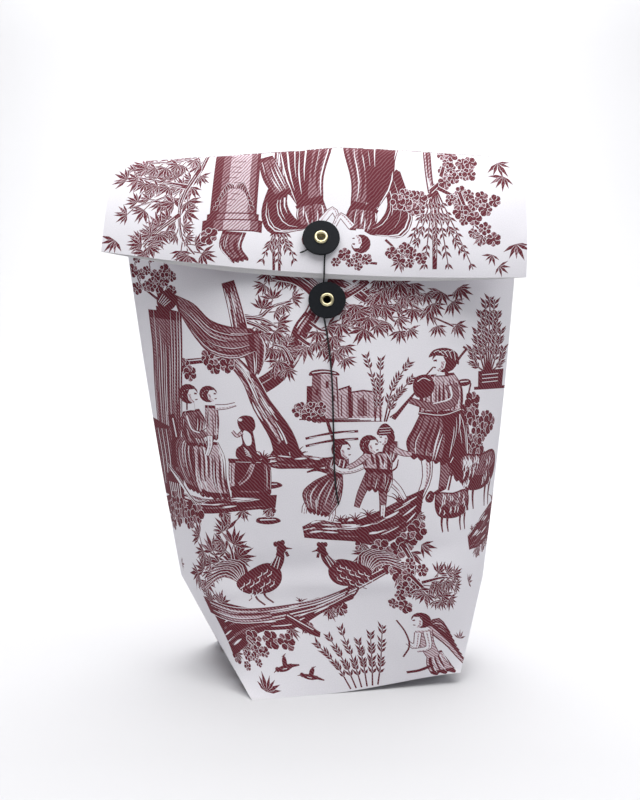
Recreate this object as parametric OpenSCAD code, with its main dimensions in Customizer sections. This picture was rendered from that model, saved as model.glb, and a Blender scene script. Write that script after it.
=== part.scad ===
// Satchel-bottomed paper gift bag. Its top is folded forward as a flap and closed with two
// washer discs and a string. The bag stands on z = 0 and its front faces -Y.

/* [Paper tube] */
// Flat width of the paper tube
tube_w = 230; // [200:1:260]
// Height of the fold at the top
fold_z = 288; // [270:1:300]
// Depth of the square base, front to back
base_d = 115; // [100:1:118]
// Turn of the base against the top fold, in degrees
base_turn = 14; // [0:1:16]
// Thickness of one layer of paper
paper_t = 0.3; // [0.25:0.05:0.4]

/* [Body shape] */
// Height of the knee where the side creases end
knee_z = 50; // [45:1:55]
// Half width of the bag at the knee
knee_hw = 87; // [84:1:90]
// How far the front and back bulge at the knee
knee_bulge = 47; // [44:1:48]
// Sideways lean of the tube above the knee, mm per mm of height
lean = 0.03; // [0:0.01:0.04]

/* [Flap] */
// How far the middle of the flap hangs below the fold
flap_drop = 66; // [64:1:68]
// Extra drop of the right end over the left end
flap_skew = 14; // [8:1:16]
// How far the flap's lower edge stands forward of the fold
flap_reach = 37; // [36:1:40]
// Gap between the flap's two layers at the middle of the mouth
mouth_gap = 3.2; // [2:0.1:3.4]

/* [Discs and string] */
// Diameter of each washer disc
disc_d = 20; // [18:1:22]
// Thickness of each washer disc
disc_t = 1.6; // [1.2:0.1:1.8]
// Gap behind each disc for the string
disc_gap = 1.5; // [1.5:0.1:1.8]
// Outer diameter of the eyelet's flange
eyelet_d = 7.6; // [7:0.1:8.4]
// Diameter of the hole through the eyelet
eyelet_hole_d = 4; // [3.6:0.1:4.2]
// Diameter of the string
string_d = 0.9; // [0.8:0.05:0.9]

/* [Hidden] */

base_w = tube_w - base_d;            // width of the base along its front edge
floor_t = 3 * paper_t;               // the three folded layers under the bag
crease_inset = 2 * paper_t;          // inset of the inside surface at a sharp side crease
knee_turn = -1.5;                    // turn of the section at the knee, in degrees
top_half_gap = 0.1;                  // half of the gap between front and back at the fold
half_cols = 14;                      // columns of facets in half a panel
tube_rows = 16;                      // rows of facets above the knee
seam_w = 12;                         // width of the glued overlap at the back

disc_up_z = fold_z - 48;             // height of the upper disc
disc_low_z = fold_z - 81;            // height of the lower disc
disc_up_x = -6;                      // sideways place of the upper disc
disc_low_x = -2.5;                   // sideways place of the lower disc
barrel_r = eyelet_hole_d / 2 + 0.5;  // outer radius of the eyelet's barrel
run_gap = 0.05;                      // radial clearance of a disc on its eyelet
clinch_r = barrel_r + 1.2;           // radius of the clinched end inside the paper
clinch_t = 0.35;                     // thickness of the clinched end
flange_t = 0.45;                     // height of the eyelet's flange above the disc

// The string's route: its short tail, once round the upper eyelet, down over the flap's edge,
// behind the lower disc and down the front to its free end
string_route = [
    [-17.4, -37.0, 232.7], [-15.6, -36.7, 233.4], [-13.6, -36.4, 234.4], [-11.8, -35.9, 235.5],
    [-10.4, -35.5, 236.7], [-9.5, -34.9, 238.2], [-9.2, -34.3, 239.7], [-9.1, -33.8, 241.2],
    [-8.4, -33.3, 242.4], [-7.2, -33.0, 243.2], [-5.8, -33.0, 243.3], [-4.4, -33.1, 242.9],
    [-3.3, -33.5, 242.0], [-2.8, -34.0, 240.5], [-2.8, -34.8, 238.4], [-3.1, -35.7, 236.0],
    [-3.6, -36.7, 233.5], [-4.0, -37.5, 231.2], [-4.2, -38.0, 228.6], [-4.3, -38.6, 225.5],
    [-4.4, -39.0, 222.8], [-4.4, -38.6, 220.9], [-4.5, -37.3, 219.3], [-4.6, -35.8, 218.3],
    [-4.7, -34.9, 217.2], [-5.0, -35.2, 215.0], [-5.5, -35.9, 212.5], [-5.9, -36.5, 210.1],
    [-6.1, -37.2, 207.2], [-5.9, -37.9, 204.3], [-5.1, -38.6, 201.4], [-4.5, -39.3, 198.6],
    [-3.8, -40.1, 194.6], [-3.0, -40.9, 190.0], [-2.1, -41.9, 184.0], [-1.2, -43.0, 177.0],
    [-0.5, -44.0, 169.0], [0.0, -45.0, 160.0], [0.3, -45.9, 150.0], [0.5, -46.6, 140.0],
    [0.7, -47.2, 130.0], [1.0, -47.5, 120.0], [1.6, -47.8, 110.0], [2.4, -48.0, 104.0],
    [3.3, -48.1, 98.6]];

// ---- shape of the tube ----

function lerp(a, b, t) = a + (b - a) * t;
// Height above the knee as a share of the way up to the fold
function rise(z) = (z - knee_z) / (fold_z - knee_z);
function half_w(z) = lerp(knee_hw, tube_w / 2, rise(z)) + 8 * rise(z) * (1 - rise(z));
function bulge(z) = top_half_gap + paper_t + knee_bulge * (1 - pow(rise(z), 3.5));
// How square the section's corners are: squarer at the knee, a plain lens at the fold
function corner(z) = 2.1 + 4.4 * pow(1 - rise(z), 3);
function turned(p, deg) = [p[0] * cos(deg) - p[1] * sin(deg), p[0] * sin(deg) + p[1] * cos(deg)];
function placed(p, deg, dx, z) = [turned(p, deg)[0] + dx, turned(p, deg)[1], z];

// A point of the wall from the knee up. u runs from -1 to 1 across it, side is 1 for the front
// and -1 for the back, and inset is 0 outside and 1 on the inside of the paper
function tube_point(u, z, side, inset) = placed(
    side * [u * (half_w(z) - inset * crease_inset),
            -(bulge(z) - inset * paper_t) * (1 - pow(abs(u), corner(z)))],
    knee_turn * (1 - rise(z)), -lean * (z - knee_z), z);
// The same point on the base's edge
function base_point(u, side, inset) = placed(
    side * [u * (base_w / 2 - inset * paper_t), inset * paper_t - base_d / 2], base_turn, 0, 0);
function wall_point(u, z, side, inset) = z >= knee_z ? tube_point(u, z, side, inset)
    : lerp(base_point(u, side, inset), tube_point(u, knee_z, side, inset), z / knee_z);

function wall_grid(us, zs, side, inset) = [for (z = zs) [for (u = us) wall_point(u, z, side, inset)]];
wall_us = [for (i = [-half_cols : half_cols]) sin(90 * i / half_cols)];
wall_zs = concat([for (i = [0 : 2]) lerp(floor_t, knee_z, i / 3)],
                 [for (i = [0 : tube_rows]) lerp(knee_z, fold_z, i / tube_rows)]);

// ---- shape of the flap ----

function drop_at(u) = flap_drop + flap_skew / 2 * u - 5 * u * u;
function reach_curve(h) = 1 - pow(1 - h / 72, 1.8);
function flap_lean(h) = atan(flap_reach * 1.8 / 72 * pow(1 - h / 72, 0.8));
// A point of the flap, h below the fold and depth in from its outside
function flap_point(u, h, depth) = [
    u * tube_w / 2 - lean * (fold_z - knee_z) - 3.2 * h / flap_drop,
    -(1.5 + flap_reach * reach_curve(h)) * (1 - 0.14 * u * u) + depth * cos(flap_lean(h)),
    fold_z - h - depth * sin(flap_lean(h))];
function layer_gap(u, f) = 0.1 + mouth_gap * (1 - u * u) * f * f;

flap_us = [for (i = [-10 : 10]) i / 10];
flap_fs = [for (i = [8 : -1 : 0]) i / 8];
function flap_grid(extra, below, inner) = [for (f = flap_fs) [for (u = flap_us)
    flap_point(u, lerp(0.3, drop_at(u) + extra * (1 - u * u), f),
               below * (paper_t + layer_gap(u, f)) + inner * paper_t)]];

// ---- building blocks ----

// A closed sheet between two grids of points, the first of them outside
module sheet(outer, inner) {
    rows = len(outer);
    cols = len(outer[0]);
    half = rows * cols;
    function at(s, r, c) = s * half + r * cols + c;
    function quad(a, b, c, d) = [[a, b, c], [a, c, d]];
    faces = concat(
        [for (r = [0 : rows - 2]) for (c = [0 : cols - 2])
            each quad(at(0, r, c), at(0, r + 1, c), at(0, r + 1, c + 1), at(0, r, c + 1))],
        [for (r = [0 : rows - 2]) for (c = [0 : cols - 2])
            each quad(at(1, r, c), at(1, r, c + 1), at(1, r + 1, c + 1), at(1, r + 1, c))],
        [for (c = [0 : cols - 2])
            each quad(at(0, 0, c), at(0, 0, c + 1), at(1, 0, c + 1), at(1, 0, c))],
        [for (c = [0 : cols - 2])
            each quad(at(1, rows - 1, c), at(1, rows - 1, c + 1),
                      at(0, rows - 1, c + 1), at(0, rows - 1, c))],
        [for (r = [0 : rows - 2])
            each quad(at(1, r, 0), at(1, r + 1, 0), at(0, r + 1, 0), at(0, r, 0))],
        [for (r = [0 : rows - 2])
            each quad(at(0, r, cols - 1), at(0, r + 1, cols - 1),
                      at(1, r + 1, cols - 1), at(1, r, cols - 1))]);
    polyhedron(concat([for (row = outer) each row], [for (row = inner) each row]), faces);
}

// Puts its children on a disc's axis, with z = 0 at the paper's outside
module on_upper_axis() {
    h = fold_z - disc_up_z;
    u = (disc_up_x - flap_point(0, h, 0)[0]) / (tube_w / 2);
    translate(flap_point(u, h, 0)) rotate([90 - flap_lean(h), 0, 0]) children();
}

module on_lower_axis() {
    u = (disc_low_x + lean * (disc_low_z - knee_z)) / half_w(disc_low_z);
    translate(tube_point(u, disc_low_z, 1, 0)) rotate([90 - panel_lean, 0, 0]) children();
}
panel_lean = atan((bulge(disc_low_z - 1) - bulge(disc_low_z + 1)) / 2);

module barrel_hole() {
    translate([0, 0, -4]) cylinder(r = barrel_r + run_gap, h = 6, $fn = 48);
}

// The triangle of the side wall at one end, -1 left and 1 right, from the base to the knee
module gore(end) {
    front = [for (inset = [0, 1]) wall_point(end, floor_t, 1, inset)];
    back = [for (inset = [0, 1]) wall_point(-end, floor_t, -1, inset)];
    knee = [for (inset = [0, 1]) wall_point(end, knee_z, 1, inset)];
    a = end < 0 ? back : front;
    b = end < 0 ? front : back;
    polyhedron([a[0], knee[0], b[0], a[1], knee[1], b[1]],
               [[0, 1, 2], [5, 4, 3], [0, 2, 5], [0, 5, 3], [2, 1, 5], [1, 4, 5],
                [1, 0, 3], [1, 3, 4]]);
}

// A flat folded layer of the base, given its outline and how many layers lie below it
module base_layer(outline, below) {
    rotate([0, 0, base_turn]) translate([0, 0, below * paper_t])
        linear_extrude(paper_t) polygon(outline);
}

module base_ear() {
    tip = base_w / 2 - base_d / 2 * 0.9;
    base_layer([[-base_w / 2, -base_d / 2], [-tip, 0], [-base_w / 2, base_d / 2]], 2);
}

// A folded-in end of the tube, which reaches past the middle of the base
module base_flap(side, below) {
    far = 9;
    base_layer(side * [[-base_w / 2, -base_d / 2], [base_w / 2, -base_d / 2],
                       [base_w / 2 - 3, -base_d / 4], [base_w / 2 - 20, far],
                       [20 - base_w / 2, far], [3 - base_w / 2, -base_d / 4]], below);
}

module washer_disc() {
    edge = 0.25;
    translate([0, 0, disc_gap]) rotate_extrude($fn = 96)
        polygon([[barrel_r + run_gap, 0], [disc_d / 2 - edge, 0], [disc_d / 2, edge],
                 [disc_d / 2, disc_t - edge], [disc_d / 2 - edge, disc_t],
                 [barrel_r + run_gap, disc_t]]);
}

// Barrel, rolled flange over the disc and clinched end inside the paper
module eyelet() {
    hole_r = eyelet_hole_d / 2;
    top = disc_gap + disc_t + run_gap;
    bead_r = (eyelet_d / 2 - hole_r) / 2;
    under = -paper_t - 0.1;
    rotate_extrude($fn = 96)
        polygon(concat(
            [[hole_r, under - clinch_t], [clinch_r, under - clinch_t], [clinch_r, under],
             [barrel_r, under], [barrel_r, top], [eyelet_d / 2, top]],
            [for (a = [15 : 15 : 165]) [hole_r + bead_r + bead_r * cos(a),
                                        top + flange_t * 2 * sin(a)]],
            [[hole_r, top]]));
}

// ---- sub-parts ----

module front_panel() {
    color("gainsboro") difference() {
        sheet(wall_grid(wall_us, wall_zs, 1, 0), wall_grid(wall_us, wall_zs, 1, 1));
        on_lower_axis() barrel_hole();
    }
}

module back_panel() {
    color("gainsboro")
        sheet(wall_grid(wall_us, wall_zs, -1, 0), wall_grid(wall_us, wall_zs, -1, 1));
}

module left_gore() {
    color("lightgray") gore(-1);
}

module right_gore() {
    color("lightgray") gore(1);
}

module left_base_ear() {
    color("whitesmoke") base_ear();
}

module right_base_ear() {
    color("whitesmoke") mirror([cos(base_turn), sin(base_turn), 0]) base_ear();
}

module base_front_flap() {
    color("gainsboro") base_flap(1, 1);
}

module base_back_flap() {
    color("gainsboro") base_flap(-1, 0);
}

// The tube's glued overlap, a strip on the outside of the back
module back_seam_lap() {
    us = [for (i = [-1 : 1]) seam_w / tube_w * i];
    zs = [for (i = [0 : tube_rows - 1]) lerp(knee_z + 2, fold_z, i / tube_rows)];
    stand = -0.1 - paper_t;
    function shifted(grid, by) = [for (row = grid) [for (p = row) p - [0, by, 0]]];
    color("gainsboro")
        sheet(shifted(wall_grid(us, zs, -1, 0), stand), shifted(wall_grid(us, zs, -1, 0), -0.1));
}

module flap_outer_layer() {
    color("white") difference() {
        sheet(flap_grid(0, 0, 0), flap_grid(0, 0, 1));
        on_upper_axis() barrel_hole();
    }
}

module flap_inner_layer() {
    color("white") sheet(flap_grid(2.2, 1, 0), flap_grid(2.2, 1, 1));
}

module upper_disc() {
    color("#15181a") on_upper_axis() washer_disc();
}

module lower_disc() {
    color("#15181a") on_lower_axis() washer_disc();
}

module upper_eyelet() {
    color("#cfc58a") on_upper_axis() eyelet();
}

module lower_eyelet() {
    color("#cfc58a") on_lower_axis() eyelet();
}

// The string, an eight-sided tube swept along its route
module string() {
    n = len(string_route);
    sides = 8;
    function unit(v) = v / norm(v);
    function along(i) = unit(string_route[min(i + 1, n - 1)] - string_route[max(i - 1, 0)]);
    function across(i) = unit(cross(along(i), [0, 0.9, 0.45]));
    function ring(i) = [for (k = [0 : sides - 1])
        string_route[i] + string_d / 2 * (across(i) * cos(45 * k)
            + cross(along(i), across(i)) * sin(45 * k))];
    faces = concat(
        [for (i = [0 : n - 2]) for (k = [0 : sides - 1])
            [i * sides + k, (i + 1) * sides + k,
             (i + 1) * sides + (k + 1) % sides, i * sides + (k + 1) % sides]],
        [[for (k = [0 : sides - 1]) k]],
        [[for (k = [sides - 1 : -1 : 0]) (n - 1) * sides + k]]);
    color("#101214") polyhedron([for (i = [0 : n - 1]) each ring(i)], faces);
}

// The knot in the string's tail, beside the upper eyelet
module string_knot() {
    color("#101214") on_upper_axis() translate([-5.6, -5, disc_gap / 2])
        rotate_extrude($fn = 32)
            polygon([for (a = [-90 : 15 : 90]) [1.3 * cos(a), 0.6 * sin(a)]]);
}

front_panel();
back_panel();
left_gore();
right_gore();
left_base_ear();
right_base_ear();
base_front_flap();
base_back_flap();
back_seam_lap();
flap_outer_layer();
flap_inner_layer();
upper_disc();
lower_disc();
upper_eyelet();
lower_eyelet();
string();
string_knot();
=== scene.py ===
"""The look of a printed paper gift bag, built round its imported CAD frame.

The bag's paper is drawn as curved sheets. Each carries a toile print: flat shapes drawn in
millimetres on the unrolled sheet, triangulated together with the sheet and bent with it.
"""

import math
import random

import bmesh
import bpy
import numpy as np
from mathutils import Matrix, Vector
from mathutils.geometry import delaunay_2d_cdt


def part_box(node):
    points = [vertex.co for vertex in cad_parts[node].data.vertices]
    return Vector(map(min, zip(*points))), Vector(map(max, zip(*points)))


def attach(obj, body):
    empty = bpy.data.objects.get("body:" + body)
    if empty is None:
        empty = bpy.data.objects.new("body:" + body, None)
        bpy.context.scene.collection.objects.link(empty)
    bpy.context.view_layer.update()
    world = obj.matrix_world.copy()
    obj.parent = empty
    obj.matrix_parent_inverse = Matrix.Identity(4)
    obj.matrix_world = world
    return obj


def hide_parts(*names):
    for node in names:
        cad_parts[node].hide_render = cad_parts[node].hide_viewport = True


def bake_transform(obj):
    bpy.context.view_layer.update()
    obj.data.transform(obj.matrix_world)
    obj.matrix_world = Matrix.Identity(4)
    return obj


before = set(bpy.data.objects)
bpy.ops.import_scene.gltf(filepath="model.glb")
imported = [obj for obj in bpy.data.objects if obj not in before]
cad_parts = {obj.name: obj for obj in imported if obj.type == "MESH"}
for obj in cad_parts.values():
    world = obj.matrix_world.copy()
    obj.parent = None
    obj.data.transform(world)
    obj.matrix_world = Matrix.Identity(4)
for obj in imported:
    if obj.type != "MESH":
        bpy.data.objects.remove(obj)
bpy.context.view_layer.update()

MM = 0.001


def box_mm(node):
    low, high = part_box(node)
    return np.array(low) / MM, np.array(high) / MM


# ---- driving dimensions, in millimetres: the frame's boxes, then what part.scad states ----

PANEL_LOW, PANEL_HIGH = box_mm("front_panel")
GORE_LOW, GORE_HIGH = box_mm("left_gore")
RIGHT_GORE_HIGH = box_mm("right_gore")[1]

TUBE_W = PANEL_HIGH[0] - PANEL_LOW[0]       # flat width of the tube
HALF = TUBE_W / 2
FOLD_Z = PANEL_HIGH[2]                      # height of the fold
FOLD_X = (PANEL_HIGH[0] + PANEL_LOW[0]) / 2  # middle of the fold
KNEE_Z = GORE_HIGH[2]                       # height where the side creases end
KNEE_HW = (RIGHT_GORE_HIGH[0] - GORE_LOW[0]) / 2
LEAN = -FOLD_X / (FOLD_Z - KNEE_Z)          # sideways lean of the tube, mm per mm
FLOOR_T = GORE_LOW[2]                       # the folded layers under the walls
PAPER_T = FLOOR_T / 3
RIM_Z = 0.05                                # lower edge of the walls

BASE_D = 115.0                              # side of the square base
BASE_TURN = math.radians(14)                # turn of the base against the fold
BASE_W = TUBE_W - BASE_D
KNEE_TURN = math.radians(-1.5)
KNEE_BULGE = 47.0                           # bulge of front and back at the knee
TOP_GAP = 0.1                               # gap between two layers pressed together
FLAP_DROP = 66.0                            # hang of the flap's middle
FLAP_SKEW = 14.0                            # extra drop of its right end
FLAP_REACH = 37.0                           # how far its edge stands forward
FLAP_ARC = 72.0                             # length over which its profile curves
FLAP_CURL = 1.8                             # how sharply it curves
MOUTH_GAP = 3.2                             # gap between its layers at the edge
SEAM_W = 12.0                               # glued overlap at the back
CORNER_LIFT = 6.0                           # how far the base's right front corner is lifted


def lerp(a, b, t):
    return a + (b - a) * t


def ease(x, low, high):
    """A smooth step from 0 at low to 1 at high."""
    t = np.clip((x - low) / (high - low), 0, 1)
    return t * t * (3 - 2 * t)


def hump(x, width):
    """A soft bump of height 1 about 0."""
    return np.exp(-(x / width) ** 2)


def arc_2d(x, y):
    """How far each point of a flat line is from its start, along the line."""
    return np.concatenate([[0], np.cumsum(np.hypot(np.diff(x), np.diff(y)))])


# ---- shape of the tube, as in the CAD ----

def rise(z):
    """0 at the knees and 1 at the fold."""
    return np.clip((z - KNEE_Z) / (FOLD_Z - KNEE_Z), 0, 1)


def half_w(z):
    r = rise(z)
    return lerp(KNEE_HW, HALF, r) + 8 * r * (1 - r)


def bulge(z):
    return TOP_GAP + PAPER_T + KNEE_BULGE * (1 - rise(z) ** 3.5)


def corner(z):
    return 2.1 + 4.4 * (1 - rise(z)) ** 3


def turned(x, y, angle):
    """The point x, y turned about the origin."""
    c, s = np.cos(angle), np.sin(angle)
    return x * c - y * s, x * s + y * c


def crest_z(x):
    """Height of the fold, which is pushed up to a soft peak right of its middle."""
    xs = [FOLD_X - HALF, FOLD_X - 92, FOLD_X - 17, FOLD_X + 9, FOLD_X + 28, FOLD_X + 60, FOLD_X + HALF]
    zs = [-2.0, -0.9, 3.9, 6.1, 5.6, 3.6, -0.2]
    soft = [np.interp(x + d, xs, zs) for d in (-5, -2.5, 0, 2.5, 5)]
    return sum(soft) / len(soft)


def base_lift(x, y):
    """How far a point of the base stands off the floor, near its right front corner."""
    cx, cy = turned(BASE_W / 2, -BASE_D / 2, BASE_TURN)
    away = np.hypot(x - cx, y - cy)
    return CORNER_LIFT * ease(-away, -78, 4)


def tube_point(u, z, side):
    x = side * u * half_w(z)
    y = -side * bulge(z) * (1 - np.abs(u) ** corner(z))
    x, y = turned(x, y, KNEE_TURN * (1 - rise(z)))
    return np.stack([x - LEAN * (z - KNEE_Z), y, z], -1)


def base_point(u, side):
    x, y = turned(side * u * BASE_W / 2, -side * BASE_D / 2, BASE_TURN)
    return np.stack([x, y, base_lift(x, y)], -1)


def dents(u, z, side):
    """Soft hollows and ridges of handled paper, as a distance inwards."""
    knee = (1.5 * hump(z - 68 - 10 * u, 6) * (1 - u ** 4)
            - 1.2 * hump(z - 55 - 6 * u, 5) * (1 - u ** 4))
    wave = 0.6 * np.sin(0.051 * z + 3.1 * u + side) * np.sin(4.3 * u + 0.02 * z)
    ridges = (0.45 * hump(u - 0.62 + 0.0012 * (z - 150), 0.03)
              + 0.4 * hump(u + 0.66 - 0.0009 * (z - 150), 0.035))
    calm = 1 - hump(u, 0.22)
    return (knee if side > 0 else -0.4 * knee) + (wave + ridges) * calm * (1 - u ** 6)


def wall_point(u, z, side):
    above = tube_point(u, np.maximum(z, KNEE_Z), side)
    below = base_point(u, side)
    t = np.clip(z / KNEE_Z, 0, 1)[..., None]
    p = np.where((z >= KNEE_Z)[..., None], above, lerp(below, above, t))
    fade = ease(z, 6, 30) * (1 - ease(z, FOLD_Z - 40, FOLD_Z - 6))
    p[..., 1] += side * dents(u, z, side) * fade
    p[..., 2] += crest_z(p[..., 0]) * ease(z, FOLD_Z - 45, FOLD_Z)
    return p


# ---- the unrolled sheet: s runs across from the panel's middle, t up from the base's edge ----

Z_ROWS = np.linspace(KNEE_Z, FOLD_Z, 60)
MERIDIAN = arc_2d(Z_ROWS, bulge(Z_ROWS))
KNEE_T = math.hypot(KNEE_Z, BASE_D / 2 - KNEE_BULGE)
FOLD_T = KNEE_T + MERIDIAN[-1]
SHARES = np.linspace(0, 1, 81)


def share_table():
    """For each row of Z_ROWS, the u at equal shares of the arc from the middle to the crease."""
    u = np.sin(np.linspace(0, math.pi / 2, 300))
    rows = []
    for z in Z_ROWS:
        x = u * half_w(z)
        y = bulge(z) * (1 - u ** corner(z))
        arc = arc_2d(x, y)
        rows.append(np.interp(SHARES, arc / arc[-1], u))
    return np.array(rows)


TABLE = share_table()


def z_at(t):
    return np.where(t < KNEE_T, lerp(RIM_Z, KNEE_Z, t / KNEE_T),
                    np.interp(t - KNEE_T, MERIDIAN, Z_ROWS))


def u_at(share, z):
    r = np.clip(rise(z) * (len(Z_ROWS) - 1), 0, len(Z_ROWS) - 1.001)
    c = np.clip(np.abs(share) * (len(SHARES) - 1), 0, len(SHARES) - 1.001)
    i, j = r.astype(int), c.astype(int)
    fr, fc = r - i, c - j
    low = lerp(TABLE[i, j], TABLE[i, j + 1], fc)
    high = lerp(TABLE[i + 1, j], TABLE[i + 1, j + 1], fc)
    u = lerp(low, high, fr)
    t = np.clip(z / KNEE_Z, 0, 1)
    return np.sign(share) * lerp(np.abs(share), u, t)


def wall_map(side):
    def mapped(s, t):
        z = z_at(t)
        widest = np.where(t < KNEE_T, lerp(BASE_W / 2, HALF, t / KNEE_T), HALF)
        share = np.clip(s / widest, -1, 1)
        return wall_point(u_at(share, z), z, side)
    return mapped


WALL_OUTLINE = [(-BASE_W / 2, 0), (BASE_W / 2, 0), (HALF, KNEE_T), (HALF, FOLD_T),
                (-HALF, FOLD_T), (-HALF, KNEE_T)]
GORE_OUTLINE = [(-BASE_D / 2, 0), (BASE_D / 2, 0), (0, KNEE_T)]


def gore_map(end):
    """A flat triangle from the front and back corners of the base to the knee."""
    rows = ((1.0, RIM_Z, 1), (1.0, KNEE_Z, 1), (-1.0, RIM_Z, -1))
    front, knee, back = (wall_point(np.array([u * end]), np.array([z]), side)[0] for u, z, side in rows)

    def mapped(s, t):
        across = (end * s / BASE_D + 0.5)[:, None]
        return lerp(front, back, across) + (t / KNEE_T)[:, None] * (knee - lerp(front, back, 0.5))
    return mapped


# ---- shape of the flap ----

def drop_at(u):
    """The flap's length at u, which is -1 at its left end and 1 at its right end."""
    return FLAP_DROP + FLAP_SKEW / 2 * u - 5 * u * u


def flap_point(u, h, depth):
    reach = 1 - (1 - h / FLAP_ARC) ** FLAP_CURL
    lean = np.arctan(FLAP_REACH * FLAP_CURL / FLAP_ARC * (1 - h / FLAP_ARC) ** 0.8)
    x = u * HALF + FOLD_X - 3.2 * h / FLAP_DROP
    y = -(1.5 + FLAP_REACH * reach) * (1 - 0.14 * u * u)
    y = y + depth * np.cos(lean) + 1.5 * np.exp(-h / 1.2)
    z = FOLD_Z - h - depth * np.sin(lean)
    calm = 1 - hump(u - 0.02, 0.2)
    ripple = 0.6 * np.sin(5.2 * u + 0.05 * h) + 0.35 * np.sin(11 * u - 0.06 * h + 1)
    y = y + ripple * calm * ease(h, 2, 40) * (1 - u ** 6)
    z = z + crest_z(x) * (1 - ease(h, 0, 38))
    return np.stack([x, y, z], -1)


def layer_gap(u, f):
    """The gap between the flap's layers; f is 0 at the fold and 1 at the edge."""
    return TOP_GAP + MOUTH_GAP * (1 - u * u) * f * f


def flap_map(inner):
    """The flap: s across and t down from the fold, as seen from the front."""
    def mapped(s, t):
        u = s / HALF
        f = np.clip(t / drop_at(u), 0, 1.05)
        h = t + inner * 2.2 * (1 - u * u) * f
        return flap_point(u, h, inner * (2 * PAPER_T + layer_gap(u, np.minimum(f, 1))))
    return mapped


# ---- camera ----

CAMERA_PLACE = (-0.0066, -0.646, 0.193)     # metres
CAMERA_DIP = 3.67                           # degrees below level
CAMERA_VIEW = 38.9                          # degrees from the top of the picture to its foot
SENSOR = 36

scene = bpy.context.scene


def new_object(name, data):
    obj = bpy.data.objects.new(name, data)
    scene.collection.objects.link(obj)
    return obj


def smooth_object(name, verts, faces):
    mesh = bpy.data.meshes.new(name)
    mesh.from_pydata(verts, [], faces)
    mesh.polygons.foreach_set("use_smooth", [True] * len(faces))
    mesh.update()
    return new_object(name, mesh)


cam_data = bpy.data.cameras.new("camera")
cam_data.sensor_fit = "VERTICAL"
cam_data.sensor_height = SENSOR
cam_data.lens = SENSOR / 2 / math.tan(math.radians(CAMERA_VIEW) / 2)
camera = new_object("camera", cam_data)
camera.location = CAMERA_PLACE
camera.rotation_euler = (math.radians(90 - CAMERA_DIP), 0, 0)
scene.camera = camera


# ---- materials ----

def new_material(name, color, roughness):
    mat = bpy.data.materials.new(name)
    mat.use_nodes = True
    shader = mat.node_tree.nodes["Principled BSDF"]
    shader.inputs["Base Color"].default_value = (*color, 1)
    shader.inputs["Roughness"].default_value = roughness
    shader.inputs["Specular IOR Level"].default_value = 0.25
    return mat, mat.node_tree.nodes, mat.node_tree.links, shader


def add(nodes, kind, **values):
    node = nodes.new(kind)
    for key, value in values.items():
        if key in node.inputs:
            node.inputs[key].default_value = value
        else:
            setattr(node, key, value)
    return node


def mix(nodes, links, factor, a, b):
    """Mixes two colours, each a socket or a triple."""
    node = nodes.new("ShaderNodeMix")
    node.data_type = "RGBA"
    links.new(factor, node.inputs[0])
    for socket, value in ((node.inputs[6], a), (node.inputs[7], b)):
        if isinstance(value, tuple):
            socket.default_value = (*value, 1)
        else:
            links.new(value, socket)
    return node.outputs[2]


def ramp(nodes, links, factor, low, high):
    """A smooth step of factor, from 0 at low to 1 at high."""
    node = nodes.new("ShaderNodeMapRange")
    node.interpolation_type = "SMOOTHSTEP"
    node.inputs["From Min"].default_value = low
    node.inputs["From Max"].default_value = high
    links.new(factor, node.inputs["Value"])
    return node.outputs["Result"]


def mottled(name, color, roughness, noise, tones, bump=None, **more):
    """A material whose colour wanders between two tones. noise sets the noise node, bump is its
    strength and depth in metres, and more holds further shader inputs, with _ for a space."""
    mat, nodes, links, shader = new_material(name, color, roughness)
    coords = nodes.new("ShaderNodeTexCoord")
    texture = add(nodes, "ShaderNodeTexNoise", **noise)
    links.new(coords.outputs["Object"], texture.inputs["Vector"])
    links.new(mix(nodes, links, texture.outputs["Fac"], *tones), shader.inputs["Base Color"])
    if bump:
        relief = add(nodes, "ShaderNodeBump", Strength=bump[0], Distance=bump[1])
        links.new(texture.outputs["Fac"], relief.inputs["Height"])
        links.new(relief.outputs["Normal"], shader.inputs["Normal"])
    for key, value in more.items():
        shader.inputs[key.replace("_", " ")].default_value = value
    return mat


PAPER_COLOR = (0.80, 0.785, 0.83)
INK_COLOR = (0.122, 0.019, 0.029)


def ink_at(cover):
    """Paper with a share of ink on it, part of it in fine lines and part as a thin film."""
    return tuple(lerp(lerp(p, i, cover), p * (i / p) ** cover, 0.6) for p, i in zip(PAPER_COLOR, INK_COLOR))


def paper_bump(nodes, links, shader, coords):
    """Fine fibre grain over the slow cockle of thin paper; returns the grain's noise node."""
    fibre = add(nodes, "ShaderNodeTexNoise", Scale=1.6, Detail=4.0, Roughness=0.7)
    cockle = add(nodes, "ShaderNodeTexNoise", Scale=0.035, Detail=1.5)
    links.new(coords, fibre.inputs["Vector"])
    links.new(coords, cockle.inputs["Vector"])
    soft = add(nodes, "ShaderNodeBump", Strength=0.5, Distance=0.0022)
    links.new(cockle.outputs["Fac"], soft.inputs["Height"])
    fine = add(nodes, "ShaderNodeBump", Strength=0.10, Distance=0.00008)
    links.new(fibre.outputs["Fac"], fine.inputs["Height"])
    links.new(soft.outputs["Normal"], fine.inputs["Normal"])
    links.new(fine.outputs["Normal"], shader.inputs["Normal"])
    return fibre


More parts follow.
